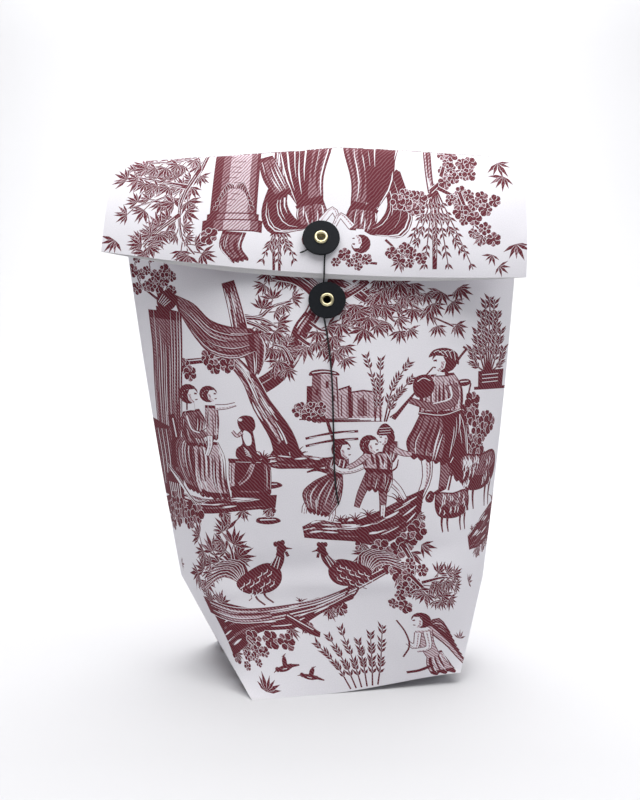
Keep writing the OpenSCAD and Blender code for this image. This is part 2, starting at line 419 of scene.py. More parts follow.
def sheet_material(name, cover):
    """Paper with ink on it. cover is the share of engraved lines, 0 for bare and 1 for solid."""
    mat, nodes, links, shader = new_material(name, PAPER_COLOR, 0.62)
    where = add(nodes, "ShaderNodeAttribute", attribute_name="sheet_mm")
    coords = where.outputs["Vector"]
    shader.inputs["Specular IOR Level"].default_value = 0.07
    fibre = paper_bump(nodes, links, shader, coords)
    if cover > 0:
        lines = add(nodes, "ShaderNodeTexWave", Scale=0.3, Distortion=3.5, Detail=2.0,
                    wave_type="BANDS", bands_direction="DIAGONAL")
        lines.inputs["Detail Scale"].default_value = 0.9
        links.new(coords, lines.inputs["Vector"])
        middle = 0.6 - 0.35 * cover
        factor = ramp(nodes, links, lines.outputs["Fac"], middle - 0.2, middle + 0.2)
        tones = ink_at(cover - 0.17), ink_at(min(1.0, cover + 0.25))
    else:
        factor = ramp(nodes, links, fibre.outputs["Fac"], 0.35, 0.65)
        tones = tuple(c * 0.94 for c in PAPER_COLOR), PAPER_COLOR
    links.new(mix(nodes, links, factor, *tones), shader.inputs["Base Color"])
    return mat


def inside_material():
    mat, nodes, links, shader = new_material("paper_inside", (0.86, 0.85, 0.86), 0.7)
    where = add(nodes, "ShaderNodeAttribute", attribute_name="sheet_mm")
    fibre = paper_bump(nodes, links, shader, where.outputs["Vector"])
    color = mix(nodes, links, ramp(nodes, links, fibre.outputs["Fac"], 0.3, 0.7),
                (0.80, 0.79, 0.80), (0.87, 0.86, 0.87))
    links.new(color, shader.inputs["Base Color"])
    return mat


PAPER, LIGHT, MID, DARK, HOLE = range(5)
SHEET_MATERIALS = [
    sheet_material("paper_bare", 0),
    sheet_material("ink_light", 0.3),
    sheet_material("ink_mid", 0.66),
    sheet_material("ink_dark", 1),
    inside_material(),
]


# ---- the print: flat shapes in painter's order, each with one tone ----

class Print:
    """A drawing in millimetres, with its own random numbers and a place for the next shapes."""

    def __init__(self, seed):
        self.shapes = []
        self.rng = random.Random(seed)
        self.place = (0.0, 0.0, 1.0, 0.0, 1.0)

    def at(self, x=0.0, y=0.0, size=1.0, turn=0.0, flip=False, wide=1.0):
        """Sets where the next shapes go: origin, scale, turn in degrees, mirroring and width."""
        self.place = (x, y, size, math.radians(turn), -wide if flip else wide)
        return self

    def fill(self, points, tone):
        x0, y0, size, angle, way = self.place
        p = np.array(points, float) * size
        p[:, 0] *= way
        x, y = turned(p[:, 0], p[:, 1], angle)
        p = np.stack([x + x0, y + y0], -1)
        area = np.sum(p[:, 0] * np.roll(p[:, 1], -1) - p[:, 1] * np.roll(p[:, 0], -1))
        if abs(area) < 0.05:
            return
        self.shapes.append((p if area > 0 else p[::-1], tone))

    def vary(self, value, share=0.25):
        return value * self.rng.uniform(1 - share, 1 + share)


def smooth(points, per=4, closed=False):
    """Points along a smooth curve through the given ones."""
    p = np.array(points, float)
    if len(p) < 3:
        return p
    if closed:
        p = np.vstack([p[-1:], p, p[:2]])
    else:
        p = np.vstack([2 * p[:1] - p[1:2], p, 2 * p[-1:] - p[-2:-1]])
    out = []
    for a, b, c, d in zip(p, p[1:], p[2:], p[3:]):
        for k in range(per):
            t = k / per
            out.append(0.5 * (2 * b + (c - a) * t + (2 * a - 5 * b + 4 * c - d) * t * t
                              + (3 * b - a - 3 * c + d) * t ** 3))
    if not closed:
        out.append(p[-2])
    return np.array(out)


def sideways(line):
    """Unit vectors to the left of a line, at each of its points."""
    way = np.gradient(line, axis=0)
    way /= np.maximum(np.hypot(way[:, 0], way[:, 1]), 1e-6)[:, None]
    return np.stack([-way[:, 1], way[:, 0]], -1)


def heading(line, k):
    way = line[k] - line[k - 1]
    return math.atan2(way[1], way[0])


def stroke(pr, points, w0, w1=None, tone=DARK, per=3, belly=0.0):
    """A brush stroke along points, w0 wide at its start and w1 at its end."""
    line = smooth(points, per)
    if len(line) < 2:
        return
    w1 = w0 if w1 is None else w1
    side = sideways(line)
    t = np.linspace(0, 1, len(line))
    w = (lerp(w0, w1, t) + belly * np.sin(math.pi * t))[:, None] / 2
    pr.fill(np.vstack([line + side * w, (line - side * w)[::-1]]), tone)


def blob(pr, points, tone=DARK, per=3):
    """A filled shape with a smooth closed outline through the points."""
    pr.fill(smooth(points, per, True), tone)


def oval(x, y, rx, ry=None, n=12, start=0.0, sweep=2 * math.pi):
    ry = rx if ry is None else ry
    return [(x + rx * math.cos(start + sweep * k / n), y + ry * math.sin(start + sweep * k / n))
            for k in range(n)]


def leaf(pr, x, y, angle, length, width, tone=DARK):
    """A pointed leaf with a pale edge, which parts it from the leaves behind."""
    c, s = math.cos(angle), math.sin(angle)
    for grow, ink in ((0.2, PAPER), (0.0, tone)):
        flat = [(0, 0), (0.45 * length, 0.5 * width + grow), (length + grow, 0),
                (0.45 * length, -0.5 * width - grow)]
        pr.fill([(x + c * a - s * b, y + s * a + c * b) for a, b in flat], ink)


def fan(pr, x, y, angle, size, leaves=7, spread=1.25, width=0.23):
    """A tuft of pointed leaves spread about one direction."""
    order = sorted(range(leaves), key=lambda k: -abs(k - (leaves - 1) / 2))
    for k in order:
        f = k / max(1, leaves - 1) - 0.5
        a = angle + 2 * spread * f + pr.rng.uniform(-0.12, 0.12)
        long = pr.vary(size * (1 - 0.5 * f * f), 0.15)
        leaf(pr, x, y, a, long, long * width, DARK if pr.rng.random() < 0.85 else MID)


def rosette(pr, x, y, size, leaves=6):
    """A cluster of short rounded leaves."""
    start = pr.rng.uniform(0, 6)
    for k in range(leaves):
        a = start + 2 * math.pi * k / leaves
        px, py = x + 0.5 * size * math.cos(a), y + 0.5 * size * math.sin(a)
        r = pr.vary(size * 0.33, 0.2)
        pr.fill(oval(px, py, r + 0.25, None, 7, a), PAPER)
        pr.fill(oval(px, py, r, None, 7, a), DARK if k % 3 else MID)
    pr.fill(oval(x, y, 0.22 * size, None, 6), DARK)


def each(draw, pr, rows, *more):
    """Draws the same thing at every row of places, points or angles."""
    for row in rows:
        draw(pr, *row, *more)


def branch(pr, points, width, tufts, size, hang=0.6, kind=fan, stems=3.0):
    """A bough with side twigs that end in tufts; hang from 0 to 1 turns them down."""
    line = smooth(points, 6)
    spots = []
    for i in range(tufts):
        k = int(lerp(0.15, 1.0, (i + 1) / tufts) * (len(line) - 1))
        base = heading(line, k)
        side = 1 if i % 2 else -1
        a = base + side * pr.vary(0.9, 0.35) if i < tufts - 1 else base
        down = -math.pi / 2 + pr.rng.uniform(-0.5, 0.5)
        a = math.atan2(lerp(math.sin(a), math.sin(down), hang), lerp(math.cos(a), math.cos(down), hang))
        reach = pr.vary(stems, 0.5)
        tip = (line[k][0] + reach * math.cos(base + side), line[k][1] + reach * math.sin(base + side))
        spots.append((tip, a))
        stroke(pr, [line[k - 1], tip], max(0.7, width * 0.3), 0.5, per=1)
    stroke(pr, points, width + 0.7, width * 0.3 + 0.5, PAPER)
    stroke(pr, points, width, width * 0.3)
    if width > 2:
        stroke(pr, line[1:-1:3] + 0.12 * width, 0.12 * width, 0.25, PAPER, per=1)
    for (x, y), a in spots:
        if kind is fan:
            fan(pr, x, y, a, pr.vary(size, 0.2))
        else:
            rosette(pr, x, y, pr.vary(size * 0.62, 0.2))


def trunk(pr, points, w0, w1, streaks=9):
    """A tree's stem: dark wood with streaks along it."""
    stroke(pr, points, w0 + 0.8, w1 + 0.8, PAPER, 5)
    stroke(pr, points, w0, w1, DARK, 5)
    line = smooth(points, 5)
    side = sideways(line)
    w = lerp(w0, w1, np.linspace(0, 1, len(line)))[:, None]
    for i in range(streaks):
        k = pr.rng.randrange(0, max(1, len(line) - 5))
        off = pr.rng.uniform(-0.4, 0.42)
        run = (line + side * w * off)[k:k + pr.rng.randrange(4, 8)]
        stroke(pr, run, 0.3, 0.25, (PAPER, MID, LIGHT)[i % 3], 1, pr.rng.uniform(0.1, 0.05 * w0 + 0.15))


def cloth(pr, left, right, folds=7, tone=MID, pale=0.5):
    """Hanging cloth between two edges, with dark hollows and pale ridges along it."""
    a, b = smooth(left, 5), smooth(right, 5)
    span = float(np.mean(np.hypot(*(b - a).T))) / folds
    way = np.linspace(0, 1, len(a))[:, None]
    f = np.linspace(0, 1, 3 * folds)[1:-1, None]
    fall = lerp(a[-1] - a[-3], b[-1] - b[-3], f)
    fall /= np.linalg.norm(fall, axis=1)[:, None]
    hem = lerp(a[-1], b[-1], f) + fall * span * 0.8 * np.abs(np.sin(f * 0.6 * math.pi * folds))
    pr.fill(np.vstack([a, hem, b[::-1]]), DARK)
    inner_a, inner_b = lerp(a, b, 0.04), lerp(a, b, 0.96)
    pr.fill(np.vstack([inner_a[1:-1], inner_b[1:-1][::-1]]), tone)
    for k in range(folds):
        f = (k + 0.5 + pr.rng.uniform(-0.3, 0.3)) / folds
        sway = pr.rng.uniform(-0.45, 0.45) / folds
        run = lerp(a, b, np.clip(f + sway * way, 0.03, 0.97))
        run = run[pr.rng.randrange(0, 1 + len(a) // 4):len(a) - pr.rng.randrange(0, 1 + len(a) // 4)]
        stroke(pr, run[::2], span * 0.1, span * 0.35, DARK, 1, span * pr.rng.uniform(0.1, 0.6))
        if pr.rng.random() < 0.8:
            first = pr.rng.randrange(0, 1 + len(a) // 2)
            run = lerp(a, b, np.clip(f + 0.45 / folds - sway * way, 0.04, 0.96))[first:first + 3 + len(a) // 2:2]
            stroke(pr, run, 0.12, 0.12, PAPER, 1, min(0.9, span * pale * pr.rng.uniform(0.15, 0.6)))


def limb(pr, points, w0, w1, tone=PAPER):
    stroke(pr, points, w0 + 0.8, w1 + 0.8, DARK)
    stroke(pr, points, w0, w1, tone)
    if tone == PAPER:
        line = smooth(points, 3)
        stroke(pr, line - (0, 0.22 * w0), 0.22 * w0, 0.2 * w1, LIGHT, 1)


def head(pr, x, y, r, way=1, hat=False):
    """A plain small head in profile with thick hair, and perhaps a soft hat."""
    def on(*points):
        """Points in the head's own frame, in radii, with the face towards way."""
        return [(x + way * r * a, y + r * b) for a, b in points]

    (hair,) = on((-0.25, 0.12))
    pr.fill(oval(*hair, 1.15 * r, 1.15 * r, 14), DARK)
    pr.fill(on((-0.1, 0.62), (0.5, 0.7), (0.86, 0.25), (1.02, -0.1), (0.84, -0.3), (0.8, -0.72), (0.35, -0.98),
               (-0.2, -0.6), (-0.35, 0.0)), PAPER)
    stroke(pr, on((-0.1, 0.1), (0, -0.5), (0.4, -0.85)), 0.3 * r, 0.2 * r, LIGHT, 1)
    stroke(pr, on((0.45, 0.2), (0.75, 0.18)), 0.22 * r, 0.16 * r, per=1)
    stroke(pr, on((0.55, -0.52), (0.82, -0.46)), 0.14 * r, 0.12 * r, per=1)
    for k in range(5):
        arc = oval(*hair, 0.85 * r, None, 12, 1.2 + 0.55 * k, way * 1.1)[:4]
        share = 0.55 + 0.1 * k
        stroke(pr, [(lerp(x, px, share), lerp(y, py, share)) for px, py in arc], 0.1, 0.2, PAPER, 1)
    if hat:
        blob(pr, [(x + r * a, y + r * b) for a, b in ((-1.1, 0.5), (-0.7, 1.7), (0.1, 2.1), (0.9, 1.5), (1.2, 0.6))])
        for k in range(3):
            stroke(pr, [(x - 0.8 * r, y + (0.7 + 0.35 * k) * r), (x + 0.8 * r, y + (0.8 + 0.35 * k) * r)], 0.25, 0.2,
                   PAPER, 1)


def mother(pr):
    """A seated woman who holds a small child, 60 mm tall; the origin is under her feet."""
    stroke(pr, [(-21, 42), (-19, 30), (-22, 14)], 5, 6)
    stroke(pr, [(-20, 40), (-18.4, 30)], 0.8, 0.8, PAPER)
    cloth(pr, [(-13, 31), (-20, 27), (-20, 16), (-13, 4)], [(-4, 33), (-6, 24), (-4, 12), (-1, 1)], 8)
    cloth(pr, [(-9, 30), (-8, 20), (-8, 10), (-5, 1)], [(5, 29), (8, 21), (8.5, 10), (10, 1)], 9, LIGHT, 0.8)
    cloth(pr, [(-13, 44), (-15.5, 38), (-14, 31), (-12, 27)], [(-4, 46), (-1, 40), (-2, 33), (0, 27)], 7)
    limb(pr, [(-11, 43), (-8, 34), (-3, 32.5), (3, 37)], 4.6, 2.4, MID)
    stroke(pr, [(-11, 42), (-8.4, 35), (-4, 33.4)], 0.9, 0.6, PAPER)
    limb(pr, [(-1, 34), (3.5, 38)], 2.2, 1.6)
    stroke(pr, [(-8.6, 50), (-8.6, 45)], 4.4, 5, DARK, 1)
    stroke(pr, [(-8.2, 50), (-8.2, 45)], 3.4, 4, PAPER, 1)
    head(pr, -8.4, 53, 4.6)
    cloth(pr, [(-1, 48), (-1, 40), (0, 30)], [(5, 48), (5.6, 40), (5, 31)], 5, LIGHT)
    limb(pr, [(1, 32), (1, 27), (-0.6, 22)], 2.6, 1.6)
    limb(pr, [(4, 47), (9, 47.6), (13, 49)], 2.4, 1.4)
    head(pr, 1.6, 53.4, 3.8)
    stroke(pr, [(-4, 3), (2, 1), (6, 0.4)], 2.4, 1.2)


def pedestal_pet(pr):
    """A small dog sitting up on a block with a cloth over it; the origin is under the block."""
    pr.fill([(-10, 0), (10.6, 0), (10.6, 19), (-10, 19)], DARK)
    cloth(pr, [(-11, 20), (-11.4, 12), (-10.6, 4)], [(-7, 20), (-7.6, 12), (-7.6, 5)], 3, LIGHT)
    cloth(pr, [(2, 20), (-2, 12), (-7, 7)], [(4.6, 20), (0.6, 11), (-6.6, 5.4)], 2, LIGHT)
    cloth(pr, [(8, 20), (8.6, 12), (8, 2)], [(12, 19), (12.4, 12), (12, 3)], 3, MID)
    stroke(pr, [(-11.4, 20), (11.8, 20)], 1.6, 1.4, DARK, 1)
    stroke(pr, [(-5, 3.4), (6, 3.4)], 0.8, 0.8, MID, 1)
    blob(pr, [(-6, 21), (-6.5, 26), (-3, 29), (-4, 36), (2, 37), (4, 30), (5, 24), (9, 22), (4, 20.4)])
    blob(pr, [(-4.6, 37), (-5.6, 41.6), (-2, 44), (3, 43), (4.4, 38), (2, 35), (-2, 35.4)])
    blob(pr, [(-2, 36), (1.6, 34), (2, 29), (-0.6, 28), (-2.6, 32)], PAPER)
    limb(pr, [(-3, 35), (-6, 33), (-8.6, 35.4)], 1.5, 1.1, LIGHT)
    pr.fill(oval(-4, 41.6, 1.2, 0.8), PAPER)
    for k in range(5):
        stroke(pr, [(-2.4 + 0.3 * k, 27 - k), (0.4 + 0.4 * k, 24.6 - 0.7 * k)], 0.3, 0.3, PAPER, 1)


def piper(pr):
    """A standing herdsman with a bagpipe, 80 mm tall, facing left; the origin is his front foot."""
    stroke(pr, [(27, 61), (21, 36), (14, 6)], 0.9, 0.9)
    cloth(pr, [(12, 44), (15, 30), (17, 12)], [(22, 48), (25, 36), (26, 8)], 6, DARK, 0.5)
    limb(pr, [(13, 30), (13, 18), (11, 7)], 6.0, 3.0, MID)
    limb(pr, [(4, 30), (4.4, 14), (0.6, 2)], 5.0, 2.2)
    stroke(pr, [(5.4, 26), (5.6, 15), (2.4, 5)], 0.7, 0.5, MID)
    stroke(pr, [(2, 1.6), (-3.6, -0.6)], 2.2, 1.0, DARK, 1)
    stroke(pr, [(12, 7.6), (6.6, 4.6)], 2.4, 1.2, DARK, 1)
    cloth(pr, [(2, 46), (-1, 39), (-4, 32), (-3, 25)], [(20, 47), (21, 38), (19, 29), (15, 20)], 9)
    cloth(pr, [(11, 46), (13, 34), (11, 22)], [(21, 48), (21, 38), (17, 23)], 5, DARK, 0.6)
    cloth(pr, [(6, 66), (2.6, 60), (2, 52), (1.6, 46)], [(18, 67), (22, 60), (22.6, 52), (21.6, 46)], 10, LIGHT, 0.6)
    stroke(pr, [(1.4, 46.4), (12, 44.6), (22, 47.4)], 1.6, 1.6)
    stroke(pr, [(1.6, 46.6), (12, 44.9), (21.6, 47.6)], 0.4, 0.4, PAPER)
    blob(pr, [(-0.6, 60), (1, 65), (6, 66), (9, 61), (6.6, 55), (1, 54.6)], DARK, 4)
    stroke(pr, [(1.4, 62.6), (4, 64.4), (7, 63)], 0.4, 0.4, PAPER)
    limb(pr, [(16.6, 61), (17.6, 52), (8, 49.4), (-2, 53)], 5.4, 2.4, MID)
    stroke(pr, [(16, 60), (16.4, 53.6), (8, 51)], 1.1, 0.5, PAPER)
    stroke(pr, [(0, 56.6), (-4, 51), (-9, 43.6)], 0.9, 1.9)
    stroke(pr, [(-6.8, 47.4), (-10.4, 44.4)], 0.6, 0.6)
    stroke(pr, [(5.4, 66), (9, 70.6)], 0.7, 0.7, DARK, 1)
    stroke(pr, [(18, 70), (22, 76), (25, 79.6)], 1.1, 1.3)
    stroke(pr, [(23, 80.6), (27, 78)], 1.2, 1.2, DARK, 1)
    stroke(pr, [(12.6, 70), (12.6, 65)], 5, 6, DARK, 1)
    stroke(pr, [(11.6, 70), (11.8, 65.6)], 3.4, 4, PAPER, 1)
    head(pr, 12.6, 72.4, 5.2, -1)
    blob(pr, [(6.6, 75), (9, 79), (15, 80), (20, 77), (20.6, 71), (17, 74), (11, 76.6)])
    for k in range(4):
        stroke(pr, [(9 + 2.4 * k, 77.6), (11 + 2.4 * k, 78.6), (13.6 + 1.8 * k, 76.4 - k)], 0.3, 0.3, PAPER, 2)


def children(pr):
    """Two small children who dance hand in hand and a third behind; the origin is the left foot."""
    limb(pr, [(0, 9), (0.6, 4), (-0.6, 0)], 2.6, 1.8)
    limb(pr, [(-8, 10), (-13, 8), (-14, 4)], 2.6, 1.8)
    cloth(pr, [(-1, 24), (-9, 20), (-14.6, 14), (-12, 5)], [(6, 24), (6, 17), (4, 9), (-1, 2.6)], 9)
    cloth(pr, [(-1, 32), (-3, 28), (-1.6, 23)], [(9, 33), (9, 28), (6, 23)], 5)
    stroke(pr, [(-1.6, 25), (-7, 26), (-12, 24.6)], 2.4, 0.8)
    limb(pr, [(1, 28), (5, 25.4), (12, 26), (19, 29)], 2.8, 2.0)
    head(pr, 6.6, 35.6, 4.4)
    cloth(pr, [(28, 41), (26, 35), (27, 30)], [(34, 40), (34, 34), (32, 30)], 4)
    limb(pr, [(32, 36), (37, 34), (41, 33.6)], 2.8, 1.8, LIGHT)
    limb(pr, [(30, 20), (34, 16), (37, 11)], 3.4, 2.0)
    head(pr, 27.6, 41.6, 3.6, -1, True)
    limb(pr, [(20, 24), (15, 14), (12.6, 7)], 4.6, 2.2, MID)
    limb(pr, [(25, 24), (26, 13), (25.4, 3)], 4.8, 2.0, MID)
    limb(pr, [(26, 8), (25.6, 2)], 2.2, 1.8)
    stroke(pr, [(26, 2), (22.6, 1)], 1.8, 1.0, DARK, 1)
    cloth(pr, [(17.6, 26), (17, 21), (17.4, 17)], [(31, 25), (31, 20), (29, 15)], 6)
    cloth(pr, [(16.6, 35), (15.6, 31), (17, 26)], [(28, 35), (31, 30), (30.6, 25)], 5, LIGHT)
    limb(pr, [(18, 33), (13, 29), (8.6, 27)], 2.6, 1.8, LIGHT)
    head(pr, 20.6, 38, 4.3, 1)
    stroke(pr, [(30, 25), (33, 27), (34, 31)], 1.0, 0.6)


def ewe(pr, wool=16):
    """A standing sheep, 30 mm long and 28 tall, facing left; the origin is under it."""
    for x in (-8, -4, 6, 10):
        stroke(pr, [(x, 12), (x - 0.7, 6), (x, 0)], 2.0, 0.8)
    blob(pr, [(-13, 22), (-11, 27), (0, 26), (10, 27.6), (14, 22), (12, 13), (2, 9), (-9, 10), (-12.6, 15)])
    blob(pr, [(-12, 22), (-10, 26), (0, 25), (10, 26.4), (12.6, 21), (4, 16), (-6, 17)], MID)
    for k in range(4 * wool):
        x, y = pr.rng.uniform(-11, 11), pr.rng.uniform(14, 26)
        curl = [(x, y), (x + 0.5, y - 2), (x - 0.5, y - pr.rng.uniform(3, 5))]
        stroke(pr, curl, 0.3, 0.3, DARK if k % 2 else PAPER, 1, 0.6)
    blob(pr, [(-13, 26), (-16, 28.4), (-19, 24), (-18, 21), (-14.6, 21)])
    stroke(pr, [(-16, 26), (-17.6, 23.4)], 0.4, 0.4, PAPER, 1)


def fowl(pr):
    """A farmyard bird with an arching tail, 32 mm long, facing left; the origin is its feet."""
    for x in (-1.5, 2):
        stroke(pr, [(x, 6), (x + 0.4, 3), (x - 1.2, 0)], 0.9, 0.7)
    for k in range(8):
        a = 0.35 + 0.17 * k
        tip = (6 + 15 * math.cos(a) + 2, 9 + 15 * math.sin(a) - 3)
        mid = (6 + 8 * math.cos(a + 0.35), 9 + 9 * math.sin(a + 0.35))
        stroke(pr, [(4, 9), mid, tip], 2.2, 0.8, PAPER)
        stroke(pr, [(4, 9), mid, tip], 1.6, 0.5, DARK if k % 3 else MID)
    blob(pr, [(-9, 12), (-5, 16), (2, 14.6), (8, 11), (5, 6), (-3, 4.4), (-8, 7)], DARK, 4)
    for k in range(24):
        x, y = -7 + 1.2 * (k % 12), 14.4 - 0.4 * (k % 12) - 4.2 * (k // 12) - 1.6 * (k % 2)
        stroke(pr, [(x, y), (x + 0.4, y - 1.2), (x + 2.0, y - 1.8)], 0.25, 0.4, PAPER if k % 3 else MID, 1)
    stroke(pr, [(-6, 12), (-9.6, 16), (-11, 19.6)], 5, 2.6)
    for k in range(3):
        stroke(pr, [(-8 + k, 12.6 + k), (-10.2 + 0.6 * k, 17 + 0.6 * k)], 0.3, 0.3, PAPER, 1)
    pr.fill(oval(-11.6, 20.4, 1.9), DARK)
    stroke(pr, [(-12.6, 20.4), (-15.4, 19.4)], 1.2, 0.3, DARK, 1)
    for k in range(3):
        pr.fill(oval(-12.6 + 1.3 * k, 22.8, 0.9, 1.2, 7), DARK)
    stroke(pr, [(-12.8, 18.8), (-13.2, 16.6)], 1.1, 1.1, DARK, 1)


def songbird(pr):
    """A small flying bird, 13 mm long."""
    stroke(pr, [(-4, 0), (0, 0.8), (3.4, 2)], 1.6, 2.0, DARK, belly=1.0)
    stroke(pr, [(-3.4, 0), (-7, -1.8)], 1.6, 0.7, DARK, 1)
    for k in range(4):
        stroke(pr, [(0.4 - 0.6 * k, 1.4), (-1.6 - 0.6 * k, 4.4), (-5 + 0.9 * k, 5.6)], 0.9, 0.3)
    stroke(pr, [(-0.6, 0.3), (1.6, 1.2)], 0.35, 0.3, PAPER, 1)
    pr.fill(oval(4, 2.5, 1.2), DARK)
    stroke(pr, [(5, 2.6), (6.8, 2.4)], 0.6, 0.25, DARK, 1)


def grass(pr, x, y, height, blades=7, spread=0.9):
    for k in range(blades):
        a = math.pi / 2 + spread * (k / (blades - 1) - 0.5) * 2 + pr.rng.uniform(-0.1, 0.1)
        h = pr.vary(height, 0.3)
        mid = (x + 0.5 * h * math.cos(a), y + 0.6 * h * math.sin(a))
        stroke(pr, [(x, y), mid, (x + h * math.cos(a) * 1.3, y + 0.9 * h * math.sin(a))], 0.9, 0.25, per=2)


def bank(pr, top, bottom, marks=40, tufts=6, hang=5):
    """Ground between two outlines: dark, scratched along its slope, with plants on and under it."""
    a, b = smooth(top, 6), smooth(bottom, 6)
    n = min(len(a), len(b))
    a, b = a[:n], b[:n]
    for _ in range(hang):
        i = pr.rng.randrange(1, n - 1)
        rosette(pr, b[i][0] + pr.rng.uniform(-1, 1), b[i][1] - 1.5, pr.vary(4.6))
        fan(pr, *b[i], -math.pi / 2 + pr.rng.uniform(-1, 1), pr.vary(6), 5, 1.0)
    pr.fill(np.vstack([a, b[::-1]]), DARK)
    for _ in range(marks):
        f = pr.rng.uniform(0.05, 0.95) ** 1.5
        i = pr.rng.randrange(0, max(1, n - 5))
        run = lerp(a, b, f)[i:i + pr.rng.randrange(3, 6)]
        tone = PAPER if pr.rng.random() < 0.45 else MID
        stroke(pr, run, 0.25, 0.25, tone, 1, pr.rng.uniform(0.25, 0.85))
    for _ in range(tufts):
        i = pr.rng.randrange(1, n - 1)
        grass(pr, a[i][0], a[i][1] - 0.4, pr.vary(4.6, 0.4), 5)


def stones(pr, x, y, wide=14):
    blob(pr, [(x - wide / 2, y), (x - wide * 0.4, y + 2.6), (x + wide * 0.3, y + 2.8), (x + wide / 2, y + 0.6),
                    (x, y - 1.0)])
    stroke(pr, [(x - wide * 0.35, y + 1.4), (x + wide * 0.3, y + 1.7)], 0.7, 0.4, PAPER, 1)


def reed(pr, points, size=3.4, pairs=10):
    """A stem with close-set narrow leaves, like a plume."""
    line = smooth(points, 8)
    stroke(pr, points, 0.9, 0.5)
    for k in range(pairs):
        i = int(lerp(0.3, 0.97, k / (pairs - 1)) * (len(line) - 1))
        for side in (-1, 1):
            leaf(pr, *line[i], heading(line, i) + 0.55 * side, pr.vary(size), 0.32 * size)


def ruin(pr):
    """A broken tower with a low wall, 47 mm wide and 26 tall."""
    pr.fill([(0, 0), (1.4, 23), (14, 23), (15.6, 0)], LIGHT)
    pr.fill([(0, 0), (1.4, 23), (6, 23), (6, 0)], MID)
    pr.fill([(-2.2, 0), (-1.6, 17), (1.2, 17), (0.6, 0)], DARK)
    blob(pr, [(0, 22.4), (1, 25), (7, 26), (14, 24.8), (15.6, 22.6), (8, 23.4)])
    stroke(pr, [(1.4, 24), (8, 24.8), (14, 23.8)], 0.5, 0.5, PAPER)
    for x, y, w, h in ((8.4, 16, 1.6, 3.6), (11.6, 9, 1.4, 3), (3, 12, 1.4, 3.4)):
        pr.fill([(x, y), (x + w, y), (x + w, y + h), (x, y + h)], DARK)
    stroke(pr, [(15, 0.5), (14.2, 22)], 0.9, 0.8, DARK, 1)
    pr.fill([(15, 0), (15, 15), (21, 17), (21, 13), (28, 14.4), (36, 13), (38, 13.6), (38, 0)], LIGHT)
    pr.fill([(20, 0), (20, 16.6), (22, 16.4), (22, 0)], DARK)
    pr.fill([(25, 1), (25, 9), (27.4, 11.4), (30, 9), (30, 1)], MID)
    for k in range(8):
        x = 16.4 + 2.9 * k
        stroke(pr, [(x, 1), (x + 0.2, 12.4)], 0.6, 0.5, MID if k % 2 else DARK, 1)
    stroke(pr, [(15, 15), (21, 17), (21.4, 13.6), (28, 14.6), (38, 13.4)], 0.9, 0.9, DARK, 1)
    for x in (-6, -1, 4):
        rosette(pr, x, 2 + pr.rng.uniform(-1, 2), 5)
        rosette(pr, x + 1.5, 5.4, 4)
    for k in range(4):
        stroke(pr, [(-6 + 4 * k, -0.8 - 0.4 * k), (20 + 6 * k, -0.2 - 0.5 * k)], 0.7, 0.4, DARK, 1)


def pedestal(pr, w, h):
    """A round stone plinth with mouldings and a hanging leaf swag, standing upright."""
    r = w / 2
    for low, high, wide in ((0, 0.08, 1.22), (0.08, 0.15, 1.06), (0.15, 0.84, 0.94), (0.84, 0.9, 1.04),
                            (0.9, 1.0, 1.2)):
        a, b = low * h, high * h
        arc = np.array([(r * wide * math.sin(t), -1.3 * math.cos(t)) for t in np.linspace(-1.57, 1.57, 9)])
        pr.fill(np.vstack([arc + (0, a), (arc + (0, b))[::-1]]), LIGHT)
        for f0, f1, tone in ((0.62, 1.0, DARK), (0.3, 0.62, MID), (-1.0, -0.86, DARK), (-0.86, -0.6, MID)):
            part = np.array([(r * wide * f, -1.3 * math.sqrt(max(0, 1 - f * f))) for f in np.linspace(f0, f1, 5)])
            pr.fill(np.vstack([part + (0, a), (part + (0, b))[::-1]]), tone)
        for level in (a, b):
            stroke(pr, arc[::2] + (0, level), 0.7, 0.7, DARK, 2)
    for k in range(12):
        y = h * (0.2 + 0.05 * k)
        x = pr.rng.uniform(-0.5, 0.1) * r
        stroke(pr, [(x, y), (x + pr.vary(0.5) * r, y - 0.5)], 0.35, 0.3, DARK, 1)
    for side in (-1, 1):
        for k in range(9):
            t = k / 8
            x, y = side * r * (0.04 + 0.8 * t), h * (0.8 - 0.2 * math.sin(math.pi * (0.5 + 0.5 * t)))
            leaf(pr, x, y, -1.57 + side * 0.7 * (1 - 2 * t), 4.4, 2.2)


